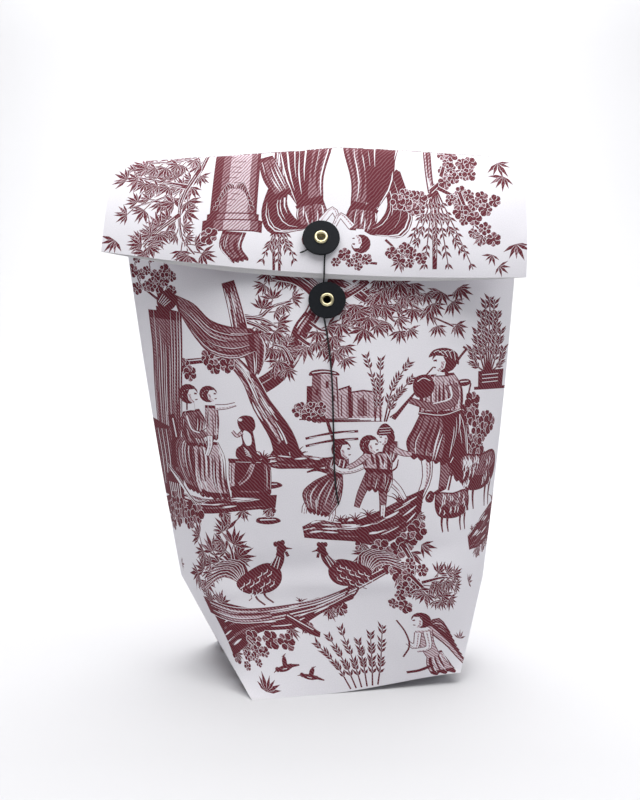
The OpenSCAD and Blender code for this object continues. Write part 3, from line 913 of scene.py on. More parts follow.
def old_tree(pr):
    """A forked old tree, 100 mm tall, with a cloth slung from it; the origin is at its root."""
    branch(pr, [(19, 95), (9, 99), (0, 100), (-10, 97)], 3.0, 6, 7, 0.5)
    branch(pr, [(-25, 78), (-14, 77), (-6, 83), (4, 86)], 3.0, 6, 7.5, 0.2)
    branch(pr, [(-25, 77), (-12, 76), (-3, 71), (4, 66)], 2.4, 4, 7.5, 0.4)
    trunk(pr, [(-16, 38), (-4, 46), (5, 58), (9, 70), (16, 80), (18, 90), (8, 99), (-4, 102)], 9, 8, 30)
    branch(pr, [(-24, 76), (-10, 70), (-3, 60), (-1, 50)], 2.2, 6, 8, 0.6)
    branch(pr, [(8, 66), (14, 62), (24, 62), (32, 57)], 2.0, 7, 8, 0.6)
    branch(pr, [(14, 74), (20, 70), (28, 70)], 1.6, 4, 7.5, 0.5)
    branch(pr, [(4, 52), (0, 60), (-6, 62)], 2.4, 2, 5, 0.1)
    trunk(pr, [(-24, 68), (-27, 82), (-31, 97)], 9, 7.5, 16)
    trunk(pr, [(1, 0), (-3, 14), (-13, 30), (-20, 44), (-31, 56), (-36, 63)], 15, 4, 46)
    for root in (-9, 9):
        stroke(pr, [(0, 9), (0.7 * root, 4), (root, 1)], 6, 2)
    bank(pr, [(-15, 0), (-8, 3), (2, 2.4), (12, 3), (20, 2), (27, 3)],
         [(-14, -1), (-6, -4), (4, -4), (12, -4), (20, -3), (28, 1)], 34, 4, 0)
    stroke(pr, [(10, 22), (12, 31), (13, 36)], 2.6, 1.6)
    for points in ([(34, 93), (44, 86), (56, 88), (66, 86), (78, 79), (94, 72)],
                   [(38, 98), (46, 90), (50, 84), (58, 76), (66, 70)],
                   [(56, 88), (68, 92), (80, 88), (96, 90)],
                   [(28, 88), (38, 80), (46, 72)],
                   [(44, 90), (54, 96), (62, 100)]):
        branch(pr, points, 3.2, 8, 8.5, 0.7)
    trunk(pr, [(24, 98), (34, 94), (44, 87)], 6, 4, 8)
    trunk(pr, [(30, 88), (40, 94), (45, 98)], 5, 4.5, 6)


def hung_cloth(pr):
    """A large cloth slung from a knot and dropped over a branch; the origin is the knot."""
    for x in (-18, -8, 2):
        branch(pr, [(-3 + 0.2 * x, 0), (x, 9), (x - 2, 22)], 1.6, 5, 7, 0.6, rosette)
    cloth(pr, [(-8, -4), (-6, -28), (-10, -52), (-15, -100)], [(10, -8), (9, -34), (5, -60), (2, -104)], 11, MID, 0.7)
    stroke(pr, [(9, -36), (30, -34), (54, -31)], 3.4, 2.2)
    stroke(pr, [(10, -35.4), (30, -33.4), (52, -30.6)], 0.5, 0.5, PAPER)
    each(rosette, pr, ((10, -38), (14, -42), (26, -33), (30, -38), (38, -37)), 5.5)
    cloth(pr, [(44, -20), (47, -30), (50, -38), (51, -43)], [(56, -18), (60, -26), (59, -34), (57, -40)], 5, MID, 0.6)
    cloth(pr, [(4, 3), (18, -3), (28, -12), (40, -16), (52, -17)],
          [(8, -8), (18, -22), (28, -31), (42, -34), (54, -30)], 10, MID, 0.55)
    blob(pr, [(-7, -3), (-5, 3), (2, 4.6), (8, 0), (4, -6), (-3, -6)], DARK, 4)
    for k in range(5):
        stroke(pr, [(-6 + k, -2 - 0.6 * k), (-2 + 1.2 * k, 2.6 - k)], 0.35, 0.35, PAPER, 1)


def fallen_log(pr):
    """A fallen trunk on a bank, with torn roots and saplings, 112 mm wide; origin at its middle."""
    for points in ([(-20, 18), (-30, 30), (-42, 36), (-50, 40)], [(-28, 28), (-29, 38), (-33, 46)],
                   [(-34, 32), (-44, 26), (-50, 22)]):
        branch(pr, points, 1.8, 5, 9, 0.1)
    bank(pr, [(-52, 6), (-38, 10), (-20, 8), (0, 10), (20, 14), (38, 16)],
         [(-46, -18), (-34, -12), (-20, -4), (0, -2), (18, 6), (36, 13)], 50, 4, 7)
    trunk(pr, [(-54, 7), (-30, 4), (0, 7), (24, 13), (54, 28)], 9, 3, 30)
    stroke(pr, [(-4, 4), (8, -4), (12, -6)], 5, 3)
    stroke(pr, [(-3, 4.6), (9, -3.4)], 0.6, 0.5, PAPER)
    for x in (-26, -16, -8):
        rosette(pr, x, -10 + 0.5 * (x % 5), 6.0)
    branch(pr, [(-30, -8), (-25, -15), (-36, -20)], 1.2, 6, 5.6, 0.4, rosette)
    for x in (-46, -38):
        fan(pr, x, 10, math.pi / 2, 7)


def winged_child(pr):
    """A small kneeling child with wings and a bow, 36 mm tall, facing left; origin at its knees."""
    for k in range(8):
        feather = [(8, 27), (13 + 0.5 * k, 31 - 2.4 * k), (18 + 0.9 * k * (1 - k / 9), 22 - 3.0 * k)]
        stroke(pr, feather, 4.6, 2.2)
        stroke(pr, feather, 2.8, 0.9, LIGHT if k % 2 else MID)
    cloth(pr, [(3, 12), (1, 6), (1, 0)], [(11, 13), (12, 7), (13, 0)], 5, LIGHT, 0.8)
    limb(pr, [(5, 26), (4.6, 18), (6, 10)], 7.4, 6.4, LIGHT)
    limb(pr, [(2, 25), (-1, 17), (-4, 20)], 2.8, 1.8)
    limb(pr, [(6, 25), (5, 16), (-1, 15)], 3.0, 1.8)
    stroke(pr, [(-6, 33), (-3.6, 26), (-3.6, 18), (-8, 12)], 0.8, 0.8)
    stroke(pr, [(4, 5), (-3, 3), (-9, 3)], 1.6, 1.4)
    head(pr, 4, 31.6, 4.0, -1)


def potted_bush(pr):
    """A tall narrow bush, 42 mm tall, above a square stone base."""
    for k in range(9):
        x = -8 + 2 * k
        high = 40 - 0.5 * x * x
        reed(pr, [(0.3 * x, 0), (0.8 * x, 0.5 * high), (x, max(12, high))], 4.4, 9)
    pr.fill([(-5, 0), (9, 1), (9, -9), (-5, -9)], DARK)
    stroke(pr, [(-7, -9), (11, -9)], 1.6, 1.6, DARK, 1)
    for y in (-2, -4, -6):
        stroke(pr, [(-3, y), (6, y + 0.4)], 0.4, 0.4, PAPER, 1)


def bundle_rock(pr):
    """A squared rock with a sack and leaves, behind the herdsman; origin at its foot."""
    pr.fill([(0, 0), (0, 19), (18, 20), (18, -1)], MID)
    pr.fill([(12, 0), (12, 20), (18, 20), (18, -1)], DARK)
    for k in range(6):
        stroke(pr, [(1, 3 + 2.6 * k), (11, 3.4 + 2.6 * k)], 0.5, 0.5, DARK, 1)
    cloth(pr, [(4, 34), (2, 28), (1, 20)], [(9, 33), (14, 28), (16, 19)], 6)
    each(rosette, pr, ((14, 30), (18, 36), (19, 28), (22, 22), (26, 20), (17, 15), (22, 13), (28, 26), (32, 24),
                       (25, 8)), 6.5)


def sheaf(pr):
    """A basket with sticks laid over it, by the woman's chair."""
    blob(pr, [(-12, -8), (-13, 6), (-4, 9), (2, 2), (4, -8)])
    for k in range(6):
        stroke(pr, [(-10 + 2.2 * k, -6), (-10.6 + 2.2 * k, 3)], 0.7, 0.7, PAPER, 1)
    for k in range(7):
        stroke(pr, [(-10 + 1.6 * k, 13 - k), (4 + 1.4 * k, 1 - k), (14 + k, -8 + 0.7 * k)], 1.5, 1.0, PAPER)
        stroke(pr, [(-10 + 1.6 * k, 13 - k), (4 + 1.4 * k, 1 - k), (14 + k, -8 + 0.7 * k)], 0.9, 0.6)


def fence(pr):
    stroke(pr, [(-4, 22), (-1, 10), (3, -2)], 1.8, 1.8)
    for y in (8, 4):
        stroke(pr, [(-14, y - 3), (0, y), (14, y + 1)], 1.3, 1.3)
        stroke(pr, [(-12, y - 2.6), (12, y + 0.9)], 0.3, 0.3, PAPER, 1)


def pastoral(pr, x=0.0, y=0.0):
    """The print's main scene; x, y move it."""
    def at(dx, dy, *more):
        return pr.at(x + dx, y + dy, *more)

    old_tree(at(-21, 123))
    hung_cloth(at(-91, 211))
    cloth(at(-91, 211), [(-14, -6), (-14, -28), (-17, -52), (-22, -104)], [(10, -8), (9, -34), (7, -60), (4, -108)],
          13, MID, 0.6)
    fence(at(3, 130))
    stones(at(0, 0), -31, 109)
    stones(pr, -32, 90, 13)
    stones(pr, 2, 110, 12)
    bank(at(-72, 99), [(-44, -2), (-20, 3), (6, 2), (26, 5), (45, 6)],
         [(-42, -12), (-20, -7), (4, -6), (26, -3), (44, -1)], 40, 3, 6)
    pr.fill([(-44, 0), (-44, 44), (-26, 40), (-22, 20), (-24, 0)], DARK)
    for k in range(7):
        fold = [(-41 + 2.4 * k, 38), (-40 + 2.4 * k, 22), (-42 + 2.6 * k, 6)]
        stroke(pr, fold, 0.5, 0.6, PAPER if k % 2 else MID, 2, 0.4)
    mother(at(-66, 102, 1.04, 0, False, 1.3))
    sheaf(at(-92, 104, 1.0, 0, False, 1.2))
    each(rosette, at(0, 0), ((-104, 92), (-97, 88), (-90, 94), (-108, 84), (-84, 88), (-99, 97), (-76, 92)), 7)
    pedestal_pet(at(-42, 103))
    ruin(at(-8, 146))
    for points in ([(26, 144), (27, 160), (22, 180)], [(29, 144), (29, 160), (30, 178)],
                   [(31, 144), (36, 162), (46, 176)], [(32, 144), (37, 156), (48, 168)]):
        reed(at(0, 0), points, 4.2, 10)
    bundle_rock(at(66, 114, 1.1))
    piper(at(48, 100, 1.04, 0, False, 1.3))
    bank(at(4, 88), [(-18, 0), (-8, 4), (8, 3), (22, 8), (36, 15), (48, 20)],
         [(-17, -6), (-6, -7), (10, -8), (22, -10), (36, -4), (46, 8)], 60, 5, 3)
    each(rosette, pr, ((24, -12), (32, -14), (28, -20), (38, -8), (20, -18), (44, -2), (34, -24)), 7)
    each(fan, pr, ((40, -14, -0.9), (46, -10, -0.6), (22, -20, -2.4), (16, -14, -2.6), (34, -26, -1.4)), 9, 5, 0.7)
    children(at(2, 91, 1.06))
    ewe(at(93, 94, 1.15, 0, False, 1.2))
    ewe(at(70, 84, 0.8, 0, False, 1.15), 11)
    bank(at(96, 80), [(-14, 0), (0, 8), (14, 14), (20, 16)], [(-12, -8), (2, -8), (14, -6), (20, -4)], 30, 3, 5)
    potted_bush(at(98, 170, 1.05, 0, False, 1.5))
    stones(at(0, 0), 80, 163, 9)
    fallen_log(at(-24, 36))
    fowl(at(-36, 46, 1.3, 14, True, 1.15))
    fowl(at(12, 51, 1.2, 0, False, 1.15))
    branch(at(0, 0), [(40, 78), (46, 66), (42, 54), (36, 46)], 3.0, 9, 7, 0.3, rosette)
    branch(pr, [(44, 62), (54, 52), (64, 46)], 2.0, 8, 8, 0.3)
    branch(pr, [(50, 58), (62, 60), (70, 58)], 1.6, 7, 7, 0.2)
    for k in range(6):
        reed(pr, [(-4 + 3 * k, 1), (-8 + 5 * k, 14), (-16 + 8 * k, 26 + (k % 3) * 4)], 4.4, 9)
    winged_child(at(40, 2, 1.05, 0, False, 1.2))
    songbird(at(-36, 13, 1.1, 30, True))
    songbird(at(-24, 8, 1.0, 5, True))
    fan(at(0, 0), -50, 3, 1.2, 9)
    each(fan, pr, ((-58, 84, 2.2), (-104, 60, 0.2), (84, 54, 0.6), (70, 20, 1.2), (-76, 52, 0.8)), 6, 5)


def gowned(pr):
    """A standing figure in a long gown and a blown cape, 68 mm tall; origin under the hem."""
    cloth(pr, [(2, 56), (10, 50), (14, 40), (9, 26)], [(6, 58), (24, 58), (29, 44), (20, 22)], 7, DARK, 0.9)
    cloth(pr, [(-7, 42), (-8, 30), (-14, 14), (-16, 0)], [(8, 44), (16, 30), (17, 14), (21, 0)], 9, MID, 0.45)
    cloth(pr, [(2, 40), (0, 24), (-4, 8), (-2, 0)], [(9, 42), (15, 26), (18, 10), (22, 0)], 5, DARK, 0.6)
    cloth(pr, [(-6, 56), (-9, 50), (-7, 42)], [(6, 56), (9, 50), (8, 43)], 6, MID, 0.6)
    stroke(pr, [(-7, 44), (1, 42), (9, 44.6)], 2.0, 2.0)
    limb(pr, [(-5, 54), (-12, 48), (-15, 54)], 3.8, 2.0)
    stroke(pr, [(0, 61), (0, 55)], 3.6, 5, PAPER, 1)
    head(pr, 0, 63, 4.8, -1)


def flap_scene(pr):
    """What the flap shows from the front, upside down; it crosses the fold at FOLD_T."""
    top = FOLD_T
    for points in ([(60, top - 8), (68, top + 14), (84, top + 24), (102, top + 30)],
                   [(66, top + 8), (74, top + 26), (72, top + 46), (64, top + 56)],
                   [(72, top + 18), (88, top + 14), (104, top + 10)],
                   [(74, top + 34), (86, top + 44), (92, top + 52)],
                   [(60, top - 4), (78, top + 2), (94, top + 2)]):
        branch(pr.at(), points, 2.4, 12, 7.5, 0.15)
    pedestal(pr.at(45, top - 16), 27, 60)
    cloth(pr, [(-8, 60), (-6, 68), (-10, 74)], [(5, 59), (6, 68), (-1, 76)], 6, MID)
    rosette(pr, 12, 62, 6)
    for x in (24, 21):
        trunk(pr.at(), [(x, top - 6), (x - 1, top + 20), (x - 2, top + 46), (x - 3, top + 66)], 2.4, 1.4, 6)
    for k in range(5):
        reed(pr, [(20, top + 26), (19 + 1.6 * (k - 2), top + 44), (19 + 4.4 * (k - 2), top + 60 - k % 2 * 7)], 4.0, 7)
    gowned(pr.at(7, top - 12, 0.94, 6))
    gowned(pr.at(-28, top - 10, 0.95, -4, True))
    cloth(pr.at(), [(34, top + 4), (30, top + 16), (22, top + 26)],
          [(26, top + 2), (20, top + 12), (14, top + 22)], 5)
    trunk(pr, [(-60, top - 20), (-61, top + 10), (-64, top + 34), (-65, top + 64)], 5, 2.4, 16)
    for k in range(7):
        tip = -66 + 6.6 * (k - 3)
        reed(pr, [(-64, top + 18), (0.45 * tip - 35, top + 38), (tip, top + 64 - k % 2 * 9)], 4.4, 8)
    for points in ([(-62, top + 22), (-74, top + 12), (-84, top + 8)],
                   [(-66, top + 20), (-80, top + 26), (-96, top + 28)],
                   [(-68, top + 14), (-72, top + 0), (-68, top - 6)],
                   [(-78, top + 22), (-84, top + 36), (-94, top + 48)],
                   [(-62, top + 24), (-54, top + 28), (-46, top + 26)]):
        branch(pr.at(), points, 2.0, 8, 7, 0.1, rosette)
    for x, y, a in ((-103, 12, 1.2), (-109, 50, 1.9), (108, 48, 1.0), (-100, 4, 2.0)):
        fan(pr, x, top + y, a, 9, 6)
    for points in ([(-38, top + 48), (-46, top + 55), (-54, top + 60)],
                   [(-34, top + 61), (-24, top + 60), (-14, top + 58)]):
        branch(pr.at(), points, 1.4, 6, 6, 0.3, rosette)
    for x, y, a in ((-96, 56, 1.3), (-100, 62, 2.4), (-46, 60, 1.1), (-90, 46, 0.9)):
        fan(pr, x, top + y, a, 6, 5)


def upper_sprays(pr):
    """Leaves and birds that fill the print between the main scene and the fold."""
    branch(pr.at(), [(48, 234), (66, 239), (84, 235)], 1.6, 7, 8, 0.9)
    branch(pr, [(-112, 262), (-96, 252), (-78, 250), (-60, 244)], 3.0, 12, 8, 0.7, rosette)
    branch(pr, [(-96, 252), (-84, 262), (-70, 266)], 2.0, 8, 8, 0.3, rosette)
    branch(pr, [(112, 270), (98, 258), (86, 262), (76, 254)], 2.6, 10, 8, 0.6)
    branch(pr, [(-20, 262), (-4, 252), (16, 250), (30, 256)], 2.6, 11, 8.5, 0.6)
    branch(pr, [(-4, 252), (6, 262), (20, 264)], 1.8, 7, 8, 0.2)
    songbird(pr.at(52, 262, 1.3, 15))
    songbird(pr.at(40, 272, 1.1, -10, True))
    songbird(pr.at(-42, 268, 1.2, 10, True))


def front_print():
    pr = Print(5)
    upper_sprays(pr)
    pastoral(pr)
    flap_scene(pr.at())
    return pr


def back_print():
    """The back, upright; above the fold line it is what the flap shows."""
    pr = Print(11)
    upper_sprays(pr)
    pastoral(pr, 4, 8)
    flap_scene(pr.at())
    return pr


def sprig_print():
    """Scattered sprigs, for the small faces under the knees and the base."""
    pr = Print(3)
    for x, y, a in ((-38, 4, 0.7), (-12, 10, 1.5), (16, 6, 1.2), (36, 4, 2.2), (2, 32, 1.7), (-18, 34, 1.2),
                    (24, 30, 1.9), (-42, 26, 0.8), (44, 28, 2.1), (-4, -24, 1.3), (28, -22, 1.8), (-34, -26, 1)):
        branch(pr, [(x, y), (x + 8 * math.cos(a), y + 8 * math.sin(a))], 1.0, 3, 7, 0.0)
    grass(pr, -2, 0, 10)
    return pr


# ---- printed sheets ----

def on_line(values, lines, near=2e-3):
    """The number of the grid line that each value lies on, or -1."""
    k = np.clip(np.searchsorted(lines, values - near), 0, len(lines) - 1)
    return np.where(np.abs(lines[k] - values) < near, k, -1)


def join_cells(flat, columns, rows, delimit):
    """Joins the triangles within each cell of the grid and cuts them anew."""
    flat.normal_update()
    flat.verts.index_update()
    xy = np.array([v.co.xy for v in flat.verts])
    x_line, y_line = on_line(xy[:, 0], columns), on_line(xy[:, 1], rows)
    for edge in flat.edges:
        i, j = edge.verts[0].index, edge.verts[1].index
        edge.smooth = not (x_line[i] == x_line[j] >= 0 or y_line[i] == y_line[j] >= 0)
    bmesh.ops.dissolve_limit(
        flat, angle_limit=math.radians(3), use_dissolve_boundaries=False, delimit=delimit,
        verts=[v for v in flat.verts if not v.is_boundary], edges=[e for e in flat.edges if not e.is_boundary])
    bmesh.ops.triangulate(flat, faces=flat.faces[:])


def triangulate(shapes, outline, pitch, holes, more_rows):
    """A flat mesh of the outline, the print's shapes and a grid, which more_rows makes finer.
    Returns points, triangles, tones, and larger triangles on the same points for the plain side."""
    low = np.min(outline, axis=0)
    high = np.max(outline, axis=0)
    columns, rows = (np.linspace(a, b, 1 + max(1, round((b - a) / pitch))) for a, b in zip(low, high))
    rows = np.sort(np.concatenate([rows, more_rows]))
    verts, edges, faces, tones = [], [], [], []

    def add_face(points, tone):
        start = len(verts)
        verts.extend(Vector((float(x), float(y))) for x, y in points)
        faces.append(list(range(start, start + len(points))))
        tones.append(tone)

    add_face(outline, PAPER)
    for points, tone in list(shapes) + [(h, HOLE) for h in holes]:
        inside = np.all(points.max(0) > low) and np.all(points.min(0) < high)
        if inside:
            add_face(points, tone)
    for start, end in ([((x, low[1]), (x, high[1])) for x in columns]
                       + [((low[0], y), (high[0], y)) for y in rows]):
        verts.extend((Vector(start), Vector(end)))
        edges.append((len(verts) - 2, len(verts) - 1))
    out = delaunay_2d_cdt(verts, edges, faces, 1, 1e-4, True)
    flat = bmesh.new()
    corners = [flat.verts.new((*v, 0)) for v in out[0]]
    for tri, ids in zip(out[2], out[5]):
        if 0 in ids and tones[max(ids)] != HOLE:
            flat.faces.new([corners[k] for k in tri]).material_index = tones[max(ids)]
    for corner in corners:
        if not corner.link_faces:
            flat.verts.remove(corner)
    join_cells(flat, columns, rows, {"MATERIAL", "SHARP"})
    number = flat.verts.layers.int.new("number")
    for k, v in enumerate(flat.verts):
        v[number] = k
    points = np.array([v.co.xy for v in flat.verts])
    tris = np.array([[v[number] for v in f.verts] for f in flat.faces])
    tone_of = np.array([f.material_index for f in flat.faces])
    join_cells(flat, columns, rows, {"SHARP"})
    plain_tris = np.array([[v[number] for v in f.verts] for f in flat.faces])
    flat.free()
    return points, tris, tone_of, plain_tris


def normals_of(mapped, s, t):
    e = 0.05
    ds = mapped(s + e, t) - mapped(s - e, t)
    dt = mapped(s, t + e) - mapped(s, t - e)
    n = np.cross(ds, dt)
    return n / np.maximum(np.linalg.norm(n, axis=1), 1e-9)[:, None]


def printed_sheet(name, pr, outline, mapped, pitch=5.0, sheet_at=None, facing=1, holes=(), rows=()):
    """A closed sheet of paper. mapped bends flat points to space, in millimetres; sheet_at maps
    them to the place on the print; facing is -1 where s cross t points into the bag."""
    shapes = pr.shapes if sheet_at is None else [(sheet_at(p), tone) for p, tone in pr.shapes]
    points, tris, tones, plain_tris = triangulate(shapes, outline, pitch, holes, rows)
    s, t = points[:, 0], points[:, 1]
    out = mapped(s, t)
    n = normals_of(mapped, s, t) * facing
    if facing < 0:
        tris, plain_tris = tris[:, ::-1], plain_tris[:, ::-1]
    plain = np.unique(plain_tris)
    below = np.full(len(points), -1)                  # where each point lies on the plain side
    below[plain] = len(points) + np.arange(len(plain))
    directed = np.vstack([tris[:, [0, 1]], tris[:, [1, 2]], tris[:, [2, 0]]])
    seen = set(map(tuple, directed))
    rim = np.array([e for e in directed if (e[1], e[0]) not in seen])
    rim_faces = np.vstack([
        np.column_stack([rim[:, 1], rim[:, 0], below[rim[:, 0]]]),
        np.column_stack([rim[:, 1], below[rim[:, 0]], below[rim[:, 1]]])])
    all_tris = np.vstack([tris, below[plain_tris[:, ::-1]], rim_faces])
    all_verts = np.vstack([out, (out - n * PAPER_T)[plain]]) * MM
    mesh = bpy.data.meshes.new(name)
    mesh.from_pydata(all_verts.tolist(), [], all_tris.tolist())
    for mat in SHEET_MATERIALS:
        mesh.materials.append(mat)
    slots = np.full(len(all_tris), HOLE)
    slots[:len(tris)] = tones
    mesh.polygons.foreach_set("material_index", slots.astype(np.int32))
    place = mesh.attributes.new("sheet_mm", "FLOAT_VECTOR", "POINT")
    flat = np.column_stack([s, t, 0 * s])
    place.data.foreach_set("vector", np.vstack([flat, flat[plain]]).ravel())
    corner_n = np.vstack([n, -n[plain]])[all_tris]
    rim_from = len(tris) + len(plain_tris)
    a, b, c = (all_verts[all_tris[rim_from:, k]] for k in range(3))
    flat_n = np.cross(b - a, c - a)
    flat_n /= np.maximum(np.linalg.norm(flat_n, axis=1), 1e-12)[:, None]
    corner_n[rim_from:] = flat_n[:, None, :]
    mesh.polygons.foreach_set("use_smooth", [True] * len(all_tris))
    mesh.normals_split_custom_set(corner_n.reshape(-1, 3).tolist())
    mesh.update()
    obj = new_object(name, mesh)
    return obj


def body_paper(node, name, *sheet, **more):
    """A printed sheet that stands for one node of the bag's fixed paper."""
    paper = printed_sheet(name, *sheet, **more)
    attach(paper, "paper_body")
    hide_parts(node)


def hole_at(mapped, centre, radius, guess, steps=12):
    """The outline on the flat sheet of a round hole about a point in space, found step by step."""
    s, t = guess
    for _ in range(steps):
        p = mapped(np.array([s, s + 1, s]), np.array([t, t, t + 1]))
        miss = centre - p[0]
        j = np.stack([p[1] - p[0], p[2] - p[0]], 1)
        step = np.linalg.lstsq(j, miss, rcond=None)[0]
        s, t = s + step[0], t + step[1]
    return np.array(oval(s, t, radius, None, 20))


def centre_mm(node):
    low, high = box_mm(node)
    return (low + high) / 2


def base_map(under):
    """A flat folded layer under the bag, seen from below: s is mirrored so that it faces down."""
    def mapped(s, t):
        x, y = turned(-s, t, BASE_TURN)
        lift = base_lift(x, y)
        return np.stack([x, y, lift + under * PAPER_T], -1)
    return mapped


EYELET_HOLE_R = 2.6
front_map, back_map, flap_outer_map = wall_map(1), wall_map(-1), flap_map(0)
front_drawing, back_drawing, sprigs = front_print(), back_print(), sprig_print()

low_hole = hole_at(front_map, centre_mm("lower_eyelet"), EYELET_HOLE_R, (0, 210))
up_hole = hole_at(flap_outer_map, centre_mm("upper_eyelet"), EYELET_HOLE_R, (0, 48))

body_paper("front_panel", "front_paper", front_drawing, WALL_OUTLINE, front_map, holes=[low_hole])
body_paper("back_panel", "back_paper", back_drawing, WALL_OUTLINE, back_map)


def flap_outline():
    us = np.linspace(-1, 1, 41)
    edge = [(u * HALF, drop_at(u)) for u in us]
    return [(-HALF, 0.0)] + [(HALF, 0.0)] + edge[::-1]


def on_flap(points):
    """A shape of the back's drawing, as it lies on the flap turned over."""
    return np.stack([-points[:, 0], points[:, 1] - FOLD_T], -1)[::-1]


HINGE_ROWS = np.arange(0.8, 14, 0.9)        # the part of the flap that bends when it opens
flap_outer = printed_sheet("flap_outer_paper", back_drawing, flap_outline(), flap_outer_map, 4,
                           on_flap, -1, [up_hole], HINGE_ROWS)
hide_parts("flap_outer_layer")
flap_inner = printed_sheet("flap_inner_paper", front_drawing, flap_outline(), flap_map(1), 5,
                           lambda p: p - (0, FOLD_T), 1, (), HINGE_ROWS)
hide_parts("flap_inner_layer")
for layer in (flap_outer, flap_inner):
    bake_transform(layer)

for end, name in ((-1, "left"), (1, "right")):
    body_paper(name + "_gore", name + "_gore_paper", sprigs, GORE_OUTLINE, gore_map(end), 8)

EDGE = BASE_D / 2 - 0.4                     # the base's layers end inside the walls
SIDE = EDGE - 3.0                           # half the width of a base flap at its middle
TIP_HW = 37.5                               # half the width of a base flap's inner edge
OVERLAP = 9                                 # how far a base flap reaches past the middle
EAR_TIP = 5.7                               # from the middle to the point of an ear
for name, outline, under in (
        ("base_back_flap", [(-EDGE, EDGE), (-SIDE, EDGE / 2), (-TIP_HW, -OVERLAP), (TIP_HW, -OVERLAP),
                            (SIDE, EDGE / 2), (EDGE, EDGE)], 0),
        ("base_front_flap", [(-EDGE, -EDGE), (EDGE, -EDGE), (SIDE, -EDGE / 2), (TIP_HW, OVERLAP),
                             (-TIP_HW, OVERLAP), (-SIDE, -EDGE / 2)], 1),
        ("left_base_ear", [(EDGE, -EDGE), (EDGE, EDGE), (EAR_TIP, 0)], 2),
        ("right_base_ear", [(-EDGE, EDGE), (-EDGE, -EDGE), (-EAR_TIP, 0)], 2)):
    body_paper(name, name + "_paper", sprigs, outline, base_map(under), 8)


def seam_map(s, t):
    """The lap over the joint in the middle of the back."""
    return back_map(s, t) + normals_of(back_map, s, t) * (PAPER_T + 0.05)


SEAM_OUTLINE = [(-SEAM_W / 2, KNEE_T + 2), (SEAM_W / 2, KNEE_T + 2), (SEAM_W / 2, FOLD_T - 4),
                (-SEAM_W / 2, FOLD_T - 4)]
SEAM_SLIP = (1.4, -0.9)                     # how far its print is out of step
body_paper("back_seam_lap", "seam_paper", back_drawing, SEAM_OUTLINE, seam_map, 6, lambda p: p + SEAM_SLIP)


# ---- string ----

# the string's route, as in part.scad
STRING_ROUTE = [
    (-17.4, -37.0, 232.7), (-15.6, -36.7, 233.4), (-13.6, -36.4, 234.4), (-11.8, -35.9, 235.5),
    (-10.4, -35.5, 236.7), (-9.5, -34.9, 238.2), (-9.2, -34.3, 239.7), (-9.1, -33.8, 241.2),
    (-8.4, -33.3, 242.4), (-7.2, -33.0, 243.2), (-5.8, -33.0, 243.3), (-4.4, -33.1, 242.9),
    (-3.3, -33.5, 242.0), (-2.8, -34.0, 240.5), (-2.8, -34.8, 238.4), (-3.1, -35.7, 236.0),
    (-3.6, -36.7, 233.5), (-4.0, -37.5, 231.2), (-4.2, -38.0, 228.6), (-4.3, -38.6, 225.5),
    (-4.4, -39.0, 222.8), (-4.4, -38.6, 220.9), (-4.5, -37.3, 219.3), (-4.6, -35.8, 218.3),
    (-4.7, -34.9, 217.2), (-5.0, -35.2, 215.0), (-5.5, -35.9, 212.5), (-5.9, -36.5, 210.1),
    (-6.1, -37.2, 207.2), (-5.9, -37.9, 204.3), (-5.1, -38.6, 201.4), (-4.5, -39.3, 198.6),
    (-3.8, -40.1, 194.6), (-3.0, -40.9, 190.0), (-2.1, -41.9, 184.0), (-1.2, -43.0, 177.0),
    (-0.5, -44.0, 169.0), (0.0, -45.0, 160.0), (0.3, -45.9, 150.0), (0.5, -46.6, 140.0),
    (0.7, -47.2, 130.0), (1.0, -47.5, 120.0), (1.6, -47.8, 110.0), (2.4, -48.0, 104.0),
    (3.3, -48.1, 98.6)]
STRING_D = 0.9


def rope_mesh(name, route, diameter, strands=3, pitch=2.6, sides=12, step=0.35):
    """A twisted cord: its outline has one lobe for each strand, and turns along the route."""
    line = smooth(route, 12)
    arc = np.concatenate([[0], np.cumsum(np.linalg.norm(np.diff(line, axis=0), axis=1))])
    count = int(arc[-1] / step)
    at = np.linspace(0, arc[-1], count)
    line = np.stack([np.interp(at, arc, line[:, k]) for k in range(3)], -1)
    way = np.gradient(line, axis=0)
    way /= np.linalg.norm(way, axis=1)[:, None]
    across = np.cross(way, (0, 0.9, 0.45))    # a direction that the string never runs along
    across /= np.linalg.norm(across, axis=1)[:, None]
    other = np.cross(way, across)
    verts = []
    for k in range(count):
        end = min(1.0, 0.45 + min(k, count - 1 - k) * 0.3)
        for j in range(sides):
            a = 2 * math.pi * j / sides
            lobe = abs(math.cos(strands / 2 * (a - 2 * math.pi * at[k] / pitch)))
            r = diameter / 2 * (0.84 + 0.22 * lobe) * end
            verts.append((line[k] + r * (math.cos(a) * across[k] + math.sin(a) * other[k])) * MM)
    faces = [(k * sides + j, k * sides + (j + 1) % sides, (k + 1) * sides + (j + 1) % sides, (k + 1) * sides + j)
             for k in range(count - 1) for j in range(sides)]
    faces.append(tuple(range(sides))[::-1])
    faces.append(tuple((count - 1) * sides + j for j in range(sides)))
    return smooth_object(name, [tuple(v) for v in verts], faces), line * MM


CORD_BLACK = mottled("string_black", (0.012, 0.013, 0.015), 0.75, {"Scale": 2600.0, "Detail": 3.0},
                     ((0.004, 0.005, 0.006), (0.016, 0.017, 0.02)), (0.5, 0.00005), Sheen_Weight=0.1)
string, string_line = rope_mesh("string_cord", STRING_ROUTE, STRING_D)
string.data.materials.append(CORD_BLACK)
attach(string, "string")
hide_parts("string")


# ---- finishes of the carried-over CAD nodes ----

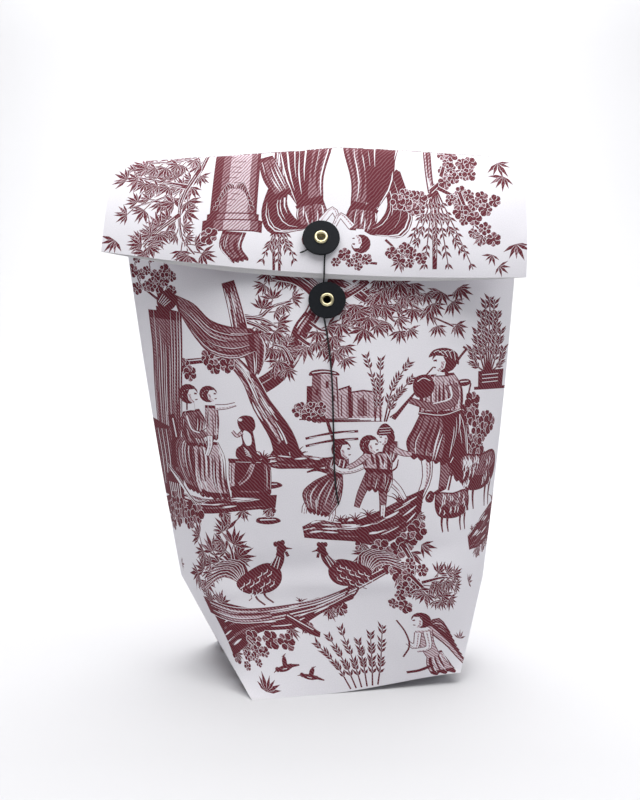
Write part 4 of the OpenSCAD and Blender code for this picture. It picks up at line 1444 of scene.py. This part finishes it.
# black pressed fibre, matt and faintly mottled, and pale brass plate with fine scuffs
FIBRE = mottled("disc_fibre", (0.016, 0.018, 0.020), 0.55, {"Scale": 900.0, "Detail": 5.0, "Roughness": 0.7},
                ((0.003, 0.004, 0.006), (0.014, 0.016, 0.020)), (0.35, 0.00006), Specular_IOR_Level=0.12)
BRASS = mottled("eyelet_brass", (0.66, 0.58, 0.34), 0.28, {"Scale": 1500.0, "Detail": 4.0},
                ((0.58, 0.50, 0.27), (0.80, 0.74, 0.50)), (0.15, 0.00003), Metallic=1.0)
for node, mat in (("upper_disc", FIBRE), ("lower_disc", FIBRE), ("upper_eyelet", BRASS),
                  ("lower_eyelet", BRASS), ("string_knot", CORD_BLACK)):
    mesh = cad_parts[node].data
    mesh.materials.clear()
    mesh.materials.append(mat)


# ---- floor and light ----

def backdrop():
    """A floor that sweeps up behind the bag into a wall."""
    mat = mottled("studio_backdrop", (0.67, 0.67, 0.685), 0.8, {"Scale": 2.0, "Detail": 2.0},
                  ((0.66, 0.66, 0.675), (0.68, 0.68, 0.692)))
    front, bend, radius, top, half = -4.0, 1.0, 0.8, 5.0, 6.0
    sweep = [(bend + radius * math.sin(a), radius - radius * math.cos(a)) for a in np.linspace(0, math.pi / 2, 25)]
    profile = [(front, 0.0)] + sweep + [(bend + radius, top)]
    verts = [(x, y, z) for y, z in profile for x in (-half, half)]
    faces = [(2 * k, 2 * k + 1, 2 * k + 3, 2 * k + 2) for k in range(len(profile) - 1)]
    stage = smooth_object("backdrop", verts, faces)
    stage.data.materials.append(mat)


def area_light(name, place, target, size, power):
    """A square lamp at place that looks at target; metres and watts."""
    data = bpy.data.lights.new(name, "AREA")
    data.size = size
    data.energy = power
    light = new_object(name, data)
    light.location = place
    way = Vector(target) - Vector(place)
    light.rotation_euler = way.to_track_quat("-Z", "Y").to_euler()


def sky():
    """A white studio dome, dimmer on the side in front of the bag."""
    world = bpy.data.worlds.new("studio")
    world.use_nodes = True
    nodes, links = world.node_tree.nodes, world.node_tree.links
    coords = nodes.new("ShaderNodeTexCoord")
    split = nodes.new("ShaderNodeSeparateXYZ")
    links.new(coords.outputs["Generated"], split.inputs[0])
    fade = ramp(nodes, links, split.outputs[1], -0.75, 0.35)
    fade.node.inputs["To Min"].default_value = 0.24
    fade.node.inputs["To Max"].default_value = 0.72
    back = nodes["Background"]
    back.inputs["Color"].default_value = (0.985, 0.985, 1.0, 1)
    links.new(fade, back.inputs["Strength"])
    scene.world = world


backdrop()
sky()
area_light("softbox", (0.05, -0.15, 0.80), (0, -0.02, 0.2), 0.85, 7.2)
area_light("backdrop_light", (0.0, 1.0, 1.5), (0, 1.7, 0.5), 1.6, 33)
scene.view_settings.view_transform = "Standard"
